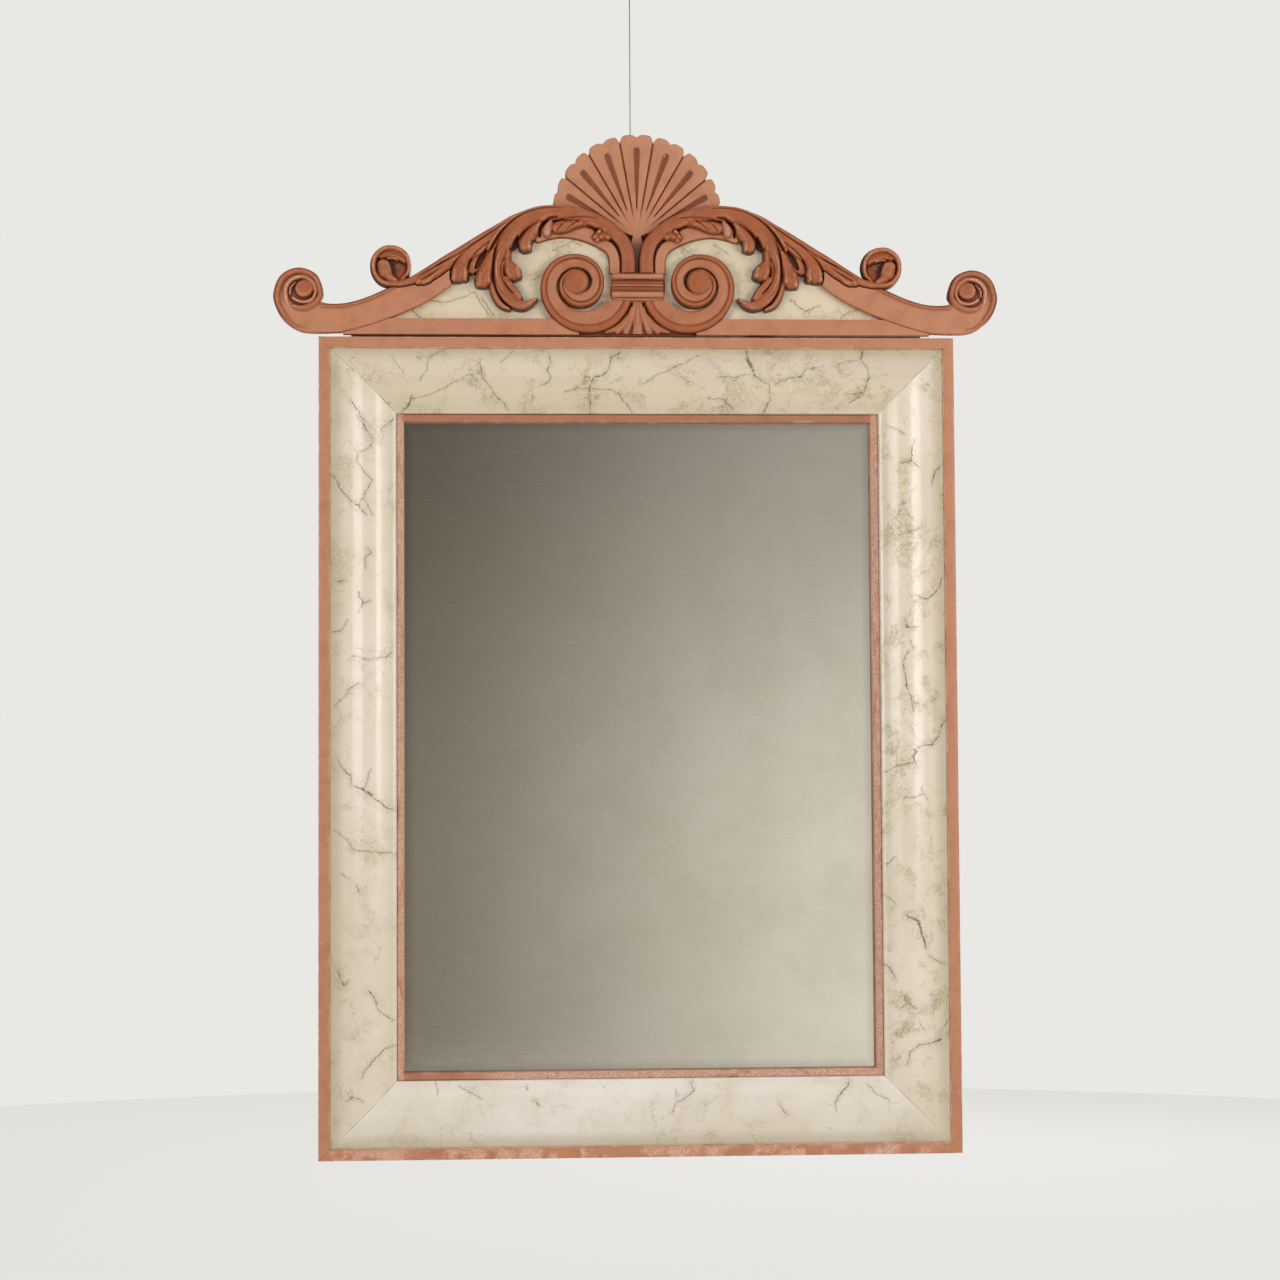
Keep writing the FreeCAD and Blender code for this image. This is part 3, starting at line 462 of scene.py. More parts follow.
VEINS_BOTTOM = [
    [(-241, 89, 0.3), (-239, 77, 0.3)], [(-214, 85, 0.3), (-199, 77, 0.45), (-188, 71, 0.3)],
    [(-136, 85, 0.45), (-133, 80, 0.3)], [(-126, 69, 0.7), (-121, 62, 0.45)],
    [(38, 80, 0.45), (39, 74, 0.45)],
    [(57, 85, 1), (60, 79, 0.7), (51, 70, 0.45), (40, 65, 0.3), (33, 53, 0.45)],
    [(162, 60, 0.7), (168, 49, 0.7)], [(244, 85, 0.7), (232, 74, 0.7), (226, 62, 0.45), (227, 52, 0.3)],
    [(264, 81, 0.3), (276, 71, 0.45), (290, 64, 0.3)],
]
VEIN_WANDER = 0.009
FAR_AWAY = 99.0


def painted_veins(here, veins):
    """How many half-widths of a vein each place lies from the nearest one; the veins wander like cracks."""
    wander = mottle(here, 75, 4, 0.7, output=1)
    moved = vectors("MULTIPLY_ADD", wander, (VEIN_WANDER, 0, VEIN_WANDER), here)
    place = vectors("MULTIPLY_ADD", moved, (1.0, 0.0, 1.0), (-VEIN_WANDER / 2, FAR_AWAY, -VEIN_WANDER / 2))
    for run in veins:
        for (x0, z0, half0), (x1, z1, half1) in zip(run, run[1:]):
            place = use_effect(vein_stroke, {
                "Where": place, "From": (x0 / 1000, 0, z0 / 1000), "To": (x1 / 1000, 0, z1 / 1000),
                "From Half": half0 / 1000, "To Half": half1 / 1000})["Where"]
    return parts_of(place)[1]


def from_edge(here):
    """How far in from the frame's outer edge each place lies: from a side, from an end, and the lesser."""
    x, y, z = parts_of(here)
    from_side = minus(FRAME_W / 2, calc("ABSOLUTE", x))
    from_end = least(z, minus(FRAME_H, z))
    return from_side, from_end, least(from_side, from_end)


COVE_EDGE = 0.034
VARNISH = 0.5
VARNISH_ROUGHNESS = 0.2
BARE_FROM = -0.030


def marbled_member_material(name, grain, ground, cloud, veins):
    """Salmon within the fillet's width of the outer edge, varnished marbling inside it, bare wood behind."""
    material, shader, where = new_material(name)
    here = where["Object"]
    x, y, z = parts_of(here)
    from_side, from_end, inward = from_edge(here)
    inside = plus(inward, times(minus(mottle(here, 160, 3), 0.5), 0.0008))
    marbled = ramp(inside, FILLET_W - 0.0002, FILLET_W + 0.0002)
    cove = opposite(ramp(inward, FILLET_W + 0.006, COVE_EDGE))
    toned = blend(times(cove, 0.62), ground, srgb(190, 175, 145))
    marble = use_effect(marbling, {"Where": here, "Ground": toned, "Apart": painted_veins(here, veins),
                                   "Cloud": plus(times(cove, 0.4), cloud)})
    mitre = calc("ABSOLUTE", minus(from_side, from_end))
    mitre = times(opposite(ramp(mitre, 0.0002, 0.0008)), ramp(mottle(here, 40, 3), 0.4, 0.6))
    cracked = blend(times(mitre, 0.6), marble["Colour"], srgb(104, 88, 68))
    rim = times(ramp(inside, FILLET_W - 0.0016, FILLET_W - 0.0002), ramp(mottle(here, 48, 4), 0.42, 0.6))
    edge = opposite(ramp(inward, 0.0004, 0.0016))
    edge = times(edge, ramp(mottle(here, 90, 4), 0.5, 0.62))
    edge = times(edge, ramp(y, -0.0375, -0.0395))
    low_wear = times(opposite(ramp(z, 0.006, 0.02)), ramp(mottle(here, 30, 5, 0.7), 0.42, 0.6))
    ridge = most(most(rim, edge), times(low_wear, 0.8))
    paint = use_effect(old_paint, {"Where": here, "Paint": SALMON, "Glaze_And_Shade": SALMON_GLAZE_AND_SHADE,
                                   "Pale_Wear_And_Highlight": SALMON_WEAR_AND_HIGHLIGHT, "Hollow": 0.0, "Ridge": ridge})
    wood = use_effect(bare_grain, {"Where": along_grain(here, grain)})
    rebate_wall = times(marbled, ramp(y, BARE_FROM, BARE_FROM + 0.002))
    behind = most(ramp(parts_of(where["Normal"])[1], 0.5, 0.6), rebate_wall)
    face = {"Colour": cracked, "Roughness": marble["Roughness"], "Height": marble["Height"]}
    finish_surface(shader, over(behind, over(marbled, paint, face), wood), relief=0.00022)
    varnished = times(marbled, opposite(behind))
    link(times(varnished, VARNISH), shader.inputs["Coat Weight"])
    shader.inputs["Coat Roughness"].default_value = VARNISH_ROUGHNESS
    return material


member_front = [tuple(point) for point in smooth_run(MOULD_FRONT, FRONT_STEP)]
member_section = MOULD_FILLET + member_front + MOULD_BEAD + MOULD_BACK
STILE_GROUND = srgb(226, 212, 193)
for side, grain, ground, cloud, veins in (("top", "x", srgb(212, 197, 172), 1.5, VEINS_TOP),
                                          ("bottom", "x", srgb(232, 222, 210), 0.35, VEINS_BOTTOM),
                                          ("left", "z", STILE_GROUND, 0.5, VEINS_LEFT),
                                          ("right", "z", STILE_GROUND, 1.2, VEINS_RIGHT)):
    kind = "rail" if side in ("top", "bottom") else "stile"
    member = mitred_member("marbled_" + kind + "_" + side, member_section, side)
    for x_side in (-1, 1):
        for foot, rise in ((0, 1), (FRAME_H, -1)):
            corner_x = x_side * (FRAME_W / 2 + OVERCUT)
            corner_z = foot - rise * OVERCUT
            leg = KEY_LEG + 2 * OVERCUT
            if side in ({0: "bottom", FRAME_H: "top"}[foot], {-1: "left", 1: "right"}[x_side]):
                cut_away(member, [(corner_x, corner_z), (corner_x - x_side * leg, corner_z),
                                  (corner_x, corner_z + rise * leg)], -KEY_BACK, -KEY_FRONT)
    if side == "top":
        for u in (-HOUSING_U, HOUSING_U):
            cut_away(member, [(u - HOUSING_W / 2, HOUSING_FOOT), (u + HOUSING_W / 2, HOUSING_FOOT),
                              (u + HOUSING_W / 2, FRAME_H + OVERCUT), (u - HOUSING_W / 2, FRAME_H + OVERCUT)],
                     OVERCUT, -HOUSING_DEPTH)
    member.data.materials.clear()
    member.data.materials.append(marbled_member_material("marbled_" + side, grain, ground, cloud, veins))
    member.data.set_sharp_from_angle(angle=math.radians(MEMBER_SHARP))
    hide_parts("frame_" + kind + "_" + side)
    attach(member, "frame")


# Corner keys: thin triangles of bare wood, one across each mitre, glued into a saw cut and planed flush
# with the frame's sides.
def wood_material(name, grain):
    material, shader, where = new_material(name)
    wood = use_effect(bare_grain, {"Where": along_grain(where["Object"], grain)})
    finish_surface(shader, wood, relief=0.0003)
    return material


def finish_node(node_name, material):
    """Gives a CAD node its finish."""
    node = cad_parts[node_name]
    node.data.materials.clear()
    node.data.materials.append(material)
    return node


WELD_UNDER = 0.00001
EASED_OVER = 35


def dress(node_name, material, bevel):
    """Gives a CAD node its finish, and softens its edges by a small bevel."""
    node = finish_node(node_name, material)
    weld = node.modifiers.new("weld", "WELD")
    weld.merge_threshold = WELD_UNDER
    eased = node.modifiers.new("eased", "BEVEL")
    eased.width = bevel
    eased.segments = 2
    eased.limit_method = "ANGLE"
    eased.angle_limit = math.radians(EASED_OVER)
    even = node.modifiers.new("even", "WEIGHTED_NORMAL")
    even.keep_sharp = False


KEY_BEVEL = 0.0001
dress("corner_keys", wood_material("key_wood", "x"), KEY_BEVEL)


# Inner slip: four thin salmon strips, mitred, lying on the glass just inside the moulding. Their sight edges
# are rubbed, most of all along the bottom, where the ground shows pale.
SLIP_SECTION = [(0.0918, 0.018), (0.0918, 0.0358), (0.09195, 0.0362), (0.0923, 0.03635), (0.0931, 0.0356),
                (0.0945, 0.0344), (0.0960, 0.0331), (0.0975, 0.0318), (0.0988, 0.0307), (0.0993, 0.0302),
                (0.0995, 0.0297), (0.0995, 0.018)]
SLIP_OUTER = 0.0918
SLIP_SIGHT = 0.0995
SLIP_PAINT = srgb(182, 120, 93)
slip_finish, shader, where = new_material("slip_paint")
here = where["Object"]
x, y, z = parts_of(here)
inward = from_edge(here)[2]
patchy = ramp(mottle(here, 42, 5, 0.65), 0.44, 0.6)
# Painted shade along the slip's joint with the moulding
joint_shade = opposite(ramp(inward, SLIP_OUTER + 0.0004, SLIP_OUTER + 0.0013))
sight_rub = ramp(inward, SLIP_SIGHT - 0.0016, SLIP_SIGHT - 0.0004)
low = times(opposite(ramp(z, 0.1, 0.104)), ramp(x, -0.24, -0.12))
low_rub = times(low, ramp(mottle(here, 26, 5, 0.7), 0.3, 0.48))
side_rub = times(ramp(calc("ABSOLUTE", x), 0.2775, 0.2785),
                 ramp(mottle(stretch(here, (1.0, 1.0, 0.3)), 60, 5, 0.7), 0.28, 0.54))
rubbed = most(most(times(times(sight_rub, patchy), 0.7), low_rub), side_rub)
paint = use_effect(old_paint, {"Where": here, "Paint": SLIP_PAINT, "Glaze_And_Shade": SALMON_GLAZE_AND_SHADE,
                               "Pale_Wear_And_Highlight": SALMON_WEAR_AND_HIGHLIGHT, "Hollow": joint_shade, "Ridge": rubbed})
finish_surface(shader, paint, relief=0.0002)
for side in ("top", "bottom", "left", "right"):
    slip = mitred_member("painted_slip_" + side, SLIP_SECTION, side)
    slip.data.materials.append(slip_finish)
    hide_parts("slip_" + side)
    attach(slip, "frame")


# Mirror: a sheet of old silvered plate, 4 mm, lying in the rebate. The silver has gone slightly cloudy, with
# faint specks and wipe marks. It is darker along the edges, partly as aged silver and partly as painted
# shade from the slip.
GLASS_EDGE = 0.00006
SILVER = srgb(226, 221, 210)
silvered, shader, where = new_material("old_silvering")
here = where["Object"]
haze = mottle(here, 9, 5, 0.6)
wipes = mottle(stretch(here, (0.2, 1.0, 1.6)), 210, 4, 0.65)
specks = ramp(mottle(here, 520, 2), 0.72, 0.76)
# Darker along the edges: aged silver, and painted shade from the slip
edge = opposite(ramp(from_edge(here)[2], SLIP_SIGHT, SLIP_SIGHT + 0.014))
tone = blend(times(ramp(haze, 0.35, 0.7), 0.4), SILVER, srgb(205, 200, 184))
tone = blend(times(ramp(wipes, 0.45, 0.7), 0.2), tone, srgb(236, 232, 222))
tone = blend(times(edge, 0.35), tone, srgb(150, 146, 130))
tone = blend(times(specks, 0.4), tone, srgb(150, 146, 132))
link(tone, shader.inputs["Base Color"])
cloudy = plus(0.05, times(ramp(haze, 0.3, 0.8), 0.05))
link(plus(cloudy, times(wipes, 0.05)), shader.inputs["Roughness"])
shader.inputs["Metallic"].default_value = 1.0
dress("mirror_glass", silvered, GLASS_EDGE)


# Backboard: one thin panel of planed wood behind the glass, its grain upright. It lies loose in the rebate,
# held in by the turn buttons.
BOARD_BEVEL = 0.0006
dress("backboard", wood_material("backboard_wood", "z"), BOARD_BEVEL)


# Turn buttons: six small bars of aged brass on the frame's back, each on one round-headed steel screw. They
# turn over the backboard's edge to hold it, and off it to let it out.
worn_metal, given, result = shared_effect(
    "worn_metal", {"Where": "Vector", "Metal": "Color", "Tarnish": "Color"}, SURFACE)
dullness = mottle(given["Where"], 90, 5, 0.62)
scratches = mottle(stretch(given["Where"], (1.0, 1.0, 7.0)), 300, 3, 0.7)
spots = ramp(dullness, 0.5, 0.72)
bright = blend(times(spots, 0.7), given["Metal"], given["Tarnish"])
put_out(result, Colour=bright, Roughness=plus(0.26, times(plus(spots, scratches), 0.2)),
        Height=plus(scratches, dullness))


def metal_material(name, metal, tarnish):
    material, shader, where = new_material(name)
    finish = use_effect(worn_metal, {"Where": where["Object"], "Metal": metal, "Tarnish": tarnish})
    finish_surface(shader, finish, relief=0.00004)
    shader.inputs["Metallic"].default_value = 1.0
    return material


BUTTON_BEVEL = 0.00035
brass = metal_material("aged_brass", srgb(196, 158, 92), srgb(104, 78, 44))
steel = metal_material("dull_steel", srgb(176, 174, 170), srgb(96, 88, 80))
for number in range(1, 7):
    dress("turn_button_" + str(number), brass, BUTTON_BEVEL)
SCREW_BEVEL = 0.0005
dress("turn_button_screws", steel, SCREW_BEVEL)


# Tympanum board: the flat cresting board, sawn to the scrolls' outline and marbled like the frame. It stands
# just clear of the top rail, on two battens behind, and everything carved is glued to its face.
CREST_Z = 0.969
THROAT_HALF_W = 0.009
VEINS_BOARD = [
    [(-268, 1001, 0.45), (-260, 991, 0.7), (-252, 990, 0.3)],
    [(-245, 1011, 0.7), (-232, 1007, 0.45), (-212, 1014, 0.3), (-194, 1021, 0.3), (-177, 994, 0.45)],
    [(-186, 1014, 0.45), (-171, 994, 0.45)], [(-123, 1037, 0.45), (-110, 1043, 0.7)],
    [(-101, 1071, 0.3), (-74, 1084, 0.45)], [(53, 1076, 0.45), (71, 1066, 0.7), (71, 1054, 0.45)],
    [(93, 1080, 0.45), (108, 1069, 0.45)], [(-67, 1079, 0.45), (-79, 1083, 0.3)],
    [(-32, 1053, 0.45), (-26, 1039, 0.7)], [(183, 1013, 0.45), (201, 999, 0.7), (219, 1007, 0.3)],
    [(243, 992, 0.45), (265, 1004, 0.45)], [(159, 1037, 0.3), (173, 1023, 0.45)],
]
tympanum_finish, shader, where = new_material("marbled_board")
here = where["Object"]
x, y, z = parts_of(here)
marble = use_effect(marbling, {"Where": stretch(here, (1.25, 1.25, 1.25)), "Cloud": 1.0,
                               "Ground": srgb(223, 208, 180), "Apart": painted_veins(here, VEINS_BOARD)})
wood = use_effect(bare_grain, {"Where": along_grain(here, "x")})
# The narrow throat between the leaf stems is painted dark brown as painted shade
throat_shade = times(opposite(ramp(calc("ABSOLUTE", x), THROAT_HALF_W, THROAT_HALF_W + 0.004)),
               ramp(z, CREST_Z + 0.06, CREST_Z + 0.065))
behind = ramp(parts_of(where["Normal"])[1], -0.6, -0.5)
# A strip along the board's foot is painted dark as painted shade in the gap above the top rail
foot = opposite(ramp(z, CREST_Z + 0.0032, CREST_Z + 0.0038))
dark = blend(foot, blend(throat_shade, marble["Colour"], srgb(126, 92, 80)), SALMON_GLAZE_AND_SHADE)
face = {"Colour": dark, "Roughness": marble["Roughness"], "Height": marble["Height"]}
finish_surface(shader, over(behind, face, wood), relief=0.00022)
dress("tympanum_board", tympanum_finish, BOARD_BEVEL)


# Base rails: two flat strips of wood along the foot of the cresting, painted salmon, glued to the board and
# scribed to the arms and the scrolls.
def carved_paint(name, light, dark):
    """Paint for carved wood: two colours by its own tint, hollows washed dark as glaze and painted shade,
    ridges rubbed pale as wear and painted highlight, bare behind.
    """
    material, shader, where = new_material(name)
    here = where["Object"]
    marks = {mark: add(here.id_data, "Attribute", {"attribute_name": mark}).outputs["Fac"]
             for mark in ("hollow", "ridge", "tint")}
    uneven = times(minus(mottle(here, 70, 4, 0.6), 0.5), 0.5)
    tint = ramp(plus(marks["tint"], uneven), 0.0, 1.0)
    colours = {key: blend(tint, light[key], dark[key]) for key in light}
    paint = use_effect(old_paint, {"Where": here, "Hollow": marks["hollow"], "Ridge": marks["ridge"],
                                   **colours})
    wood = use_effect(bare_grain, {"Where": along_grain(here, "x")})
    behind = ramp(parts_of(where["Normal"])[1], 0.5, 0.6)
    finish_surface(shader, over(behind, paint, wood), relief=0.00024)
    shader.inputs["Specular IOR Level"].default_value = 0.4
    return material


TERRACOTTA = srgb(162, 86, 46)
TERRACOTTA_GLAZE_AND_SHADE = srgb(70, 26, 11)
TERRACOTTA_WEAR_AND_HIGHLIGHT = srgb(214, 154, 118)
salmon_carving = carved_paint(
    "salmon_carving", {"Paint": SALMON, "Glaze_And_Shade": SALMON_GLAZE_AND_SHADE, "Pale_Wear_And_Highlight": SALMON_WEAR_AND_HIGHLIGHT},
    {"Paint": TERRACOTTA, "Glaze_And_Shade": TERRACOTTA_GLAZE_AND_SHADE, "Pale_Wear_And_Highlight": TERRACOTTA_WEAR_AND_HIGHLIGHT})
RAIL_BEVEL = 0.0007
for side in ("left", "right"):
    dress("base_rail_" + side, salmon_carving, RAIL_BEVEL)


# Acanthus sprays: one carved leaf each side, rising from the collar, rolling over the scroll into a hooked
# tip and running out along the arm to an open curl. Painted terracotta and salmon, and glued to the board.
# All the carving is drawn in millimetres, out from the centre line and up from the cresting's foot.
BOARD_FRONT = 30.0
RELIEF_CELL = 0.6
OUTLINE_LEVEL = 1.6
WALL_SLOPE = 7.0
SHARP_DEGREES = 55
RUN_STEP = 2.0
BELOW_ALL = -20.0
SCRIBED_GAP = 0.1
HOLLOW_REACH = 2.4
FULL_HOLLOW = 2.2
FULL_RIDGE = 2.6
DEEP_GROUND = 6.5
TOOL_MARKS = 0.28
LEAF_FLOOR = 2.5
LEAF_FOOT = 74.2


def section_round(x):
    return 0.45 + 0.55 * np.sqrt(np.maximum(0.0, 1 - x ** 2))


def section_full(x):
    return 0.62 + 0.38 * np.sqrt(np.maximum(0.0, 1 - x ** 2))


def section_flat(x):
    return 1 - 0.3 * np.abs(x) ** 8


def section_keeled(x):
    return 1 - 0.3 * np.abs(x)


def section_bowl(x):
    return 0.3 + 0.7 * x ** 2


def nearest_on(run, u, v):
    """How many half-widths off the run each place lies, and the run's half-width and height there."""
    across = np.full(u.shape, 99.0)
    half = np.ones(u.shape)
    tall = np.zeros(u.shape)
    for a, b in zip(run, run[1:]):
        du, dv = b[0] - a[0], b[1] - a[1]
        t = np.clip(((u - a[0]) * du + (v - a[1]) * dv) / max(du * du + dv * dv, 1e-9), 0, 1)
        width = a[2] + (b[2] - a[2]) * t
        off = np.hypot(u - a[0] - du * t, v - a[1] - dv * t) / width
        nearer = off < across
        across[nearer] = off[nearer]
        half[nearer] = width[nearer]
        tall[nearer] = (a[3] + (b[3] - a[3]) * t)[nearer]
    return across, half, tall


def near_run(run, spread, u, v):
    return np.nonzero((u > run[:, 0].min() - spread) & (u < run[:, 0].max() + spread)
                      & (v > run[:, 1].min() - spread) & (v < run[:, 1].max() + spread))[0]


def carve(u, v, height, tint, strokes):
    """Raises each stroke (section, tint, [(u, v, half-width, height)]) out of the ground."""
    for section, stroke_tint, points in strokes:
        run = smooth_run(points, RUN_STEP)
        near = near_run(run, run[:, 2].max() + run[:, 3].max() / WALL_SLOPE + 4, u, v)
        across, half, tall = nearest_on(run, u[near], v[near])
        rise = tall * section(np.minimum(across, 1.0)) - WALL_SLOPE * np.maximum(0.0, across - 1) * half
        higher = rise > height[near]
        height[near[higher]] = rise[higher]
        tint[near[higher]] = stroke_tint


def gouge(u, v, height, cuts, floor):
    """Sinks each cut ([(u, v, half-width, depth)]) into the carving, no deeper than the floor."""
    for points in cuts:
        run = smooth_run(points, RUN_STEP)
        near = near_run(run, run[:, 2].max() + 1, u, v)
        near = near[height[near] > floor]
        across, half, deep = nearest_on(run, u[near], v[near])
        height[near] = np.maximum(floor, height[near] - deep * np.maximum(0.0, 1 - across ** 2))


def local_mean(values, weight, kernel, passes):
    """Mean of the surroundings that counts only the piece itself."""
    mean, total = values * weight, weight.astype(float)
    for _ in range(passes):
        for axis in (0, 1):
            mean = np.apply_along_axis(np.convolve, axis, mean, kernel, "same")
            total = np.apply_along_axis(np.convolve, axis, total, kernel, "same")
    return mean / np.maximum(total, 1e-9)


def mark_carving(piece, **marks):
    """Notes at each point of a carved face how hollow, how proud and how dark it is, for the paint."""
    for mark, values in marks.items():
        layer = piece.data.attributes.new(mark, "FLOAT", "POINT")
        layer.data.foreach_set("value", np.clip(values, 0, 1).astype(np.float32))


def relief(name, field, window, side):
    """A carved piece from its field, which gives height, tint and the depth inside the outline at (u, v).

    It is flat behind, on the board's face; a side of -1 makes the left-hand one.
    """
    us = np.arange(window[0], window[1] + RELIEF_CELL, RELIEF_CELL)
    vs = np.arange(window[2], window[3] + RELIEF_CELL, RELIEF_CELL)
    grid_u, grid_v = np.meshgrid(us, vs)
    height, tint, within = (values.reshape(grid_u.shape) for values in field(grid_u.ravel(), grid_v.ravel()))
    inside = within > 0
    soften = np.array([0.25, 0.5, 0.25])
    height = np.where(inside, local_mean(height, inside, soften, 1), height)
    tint = local_mean(tint, inside, soften, 2)
    kept = inside[:-1, :-1] & inside[1:, :-1] & inside[:-1, 1:] & inside[1:, 1:]
    for _ in range(3):
        kept[:-1, :-1] &= ~(kept[1:, 1:] & ~kept[1:, :-1] & ~kept[:-1, 1:])
        kept[1:, :-1] &= ~(kept[:-1, 1:] & ~kept[:-1, :-1] & ~kept[1:, 1:])
    touching = np.zeros(inside.shape, int)
    for rows, columns in ((slice(0, -1), slice(0, -1)), (slice(1, None), slice(0, -1)),
                          (slice(0, -1), slice(1, None)), (slice(1, None), slice(1, None))):
        touching[rows, columns] += kept
    used = touching > 0
    rim = (used & (touching < 4))[used]
    number = np.full(inside.shape, -1)
    number[used] = np.arange(used.sum())
    u, v, h = grid_u[used], grid_v[used], height[used]
    edge_u, edge_v = u[rim].copy(), v[rim].copy()
    nudge = 0.05
    for _ in range(4):
        slope_u = (field(edge_u + nudge, edge_v)[2] - field(edge_u - nudge, edge_v)[2]) / (2 * nudge)
        slope_v = (field(edge_u, edge_v + nudge)[2] - field(edge_u, edge_v - nudge)[2]) / (2 * nudge)
        move = -field(edge_u, edge_v)[2] / np.maximum(slope_u ** 2 + slope_v ** 2, 0.3)
        edge_u = np.clip(edge_u + move * slope_u, u[rim] - RELIEF_CELL, u[rim] + RELIEF_CELL)
        edge_v = np.clip(edge_v + move * slope_v, v[rim] - RELIEF_CELL, v[rim] + RELIEF_CELL)
    u[rim], v[rim] = edge_u, edge_v
    h[rim] = np.maximum(field(edge_u, edge_v)[0], OUTLINE_LEVEL)
    h += [TOOL_MARKS * noise.noise(Vector((side * a / 5, b / 5, 0))) for a, b in zip(u, v)]
    front = np.column_stack([side * u, -BOARD_FRONT - h, v + CREST_Z * 1000]) / 1000
    rows, columns = np.nonzero(kept)
    faces = np.column_stack([number[rows, columns], number[rows, columns + 1], number[rows + 1, columns + 1],
                             number[rows + 1, columns]])
    piece = new_piece(name, front, faces.tolist(), SHARP_DEGREES)
    # Hollows, and all below the deep ground, are washed dark as glaze and painted shade; proud places are
    # rubbed pale as wear and painted highlight.
    surroundings = local_mean(height, inside, np.ones(2 * round(HOLLOW_REACH / RELIEF_CELL) + 1), 2)
    proud = (height - surroundings)[used]
    deep = np.clip((DEEP_GROUND - height[used]) / DEEP_GROUND, 0, 1)
    mark_carving(piece, hollow=deep - proud / FULL_HOLLOW, ridge=proud / FULL_RIDGE, tint=tint[used])
    close_behind(piece, -BOARD_FRONT / 1000)
    return piece


def close_behind(piece, back_y):
    """Keeps the largest connected part of a carved face, drops walls from its rim and closes the back."""
    shape = bmesh.new()
    shape.from_mesh(piece.data)
    islands, seen = [], set()
    for face in shape.faces:
        if face in seen:
            continue
        seen.add(face)
        island, waiting = [], [face]
        while waiting:
            here = waiting.pop()
            island.append(here)
            for other in {linked for edge in here.edges for linked in edge.link_faces} - seen:
                seen.add(other)
                waiting.append(other)
        islands.append(island)
    islands.sort(key=len)
    bmesh.ops.delete(shape, geom=[face for island in islands[:-1] for face in island], context="FACES")
    rim = [edge for edge in shape.edges if edge.is_boundary]
    walls = bmesh.ops.extrude_edge_only(shape, edges=rim)["geom"]
    for vertex in (part for part in walls if isinstance(part, bmesh.types.BMVert)):
        vertex.co.y = back_y
    rim = [edge for edge in shape.edges if edge.is_boundary]
    bmesh.ops.triangle_fill(shape, edges=rim, use_beauty=False)
    bmesh.ops.recalc_face_normals(shape, faces=shape.faces)
    shape.to_mesh(piece.data)
    shape.free()
    piece.data.shade_smooth()
    piece.data.set_sharp_from_angle(angle=math.radians(SHARP_DEGREES))


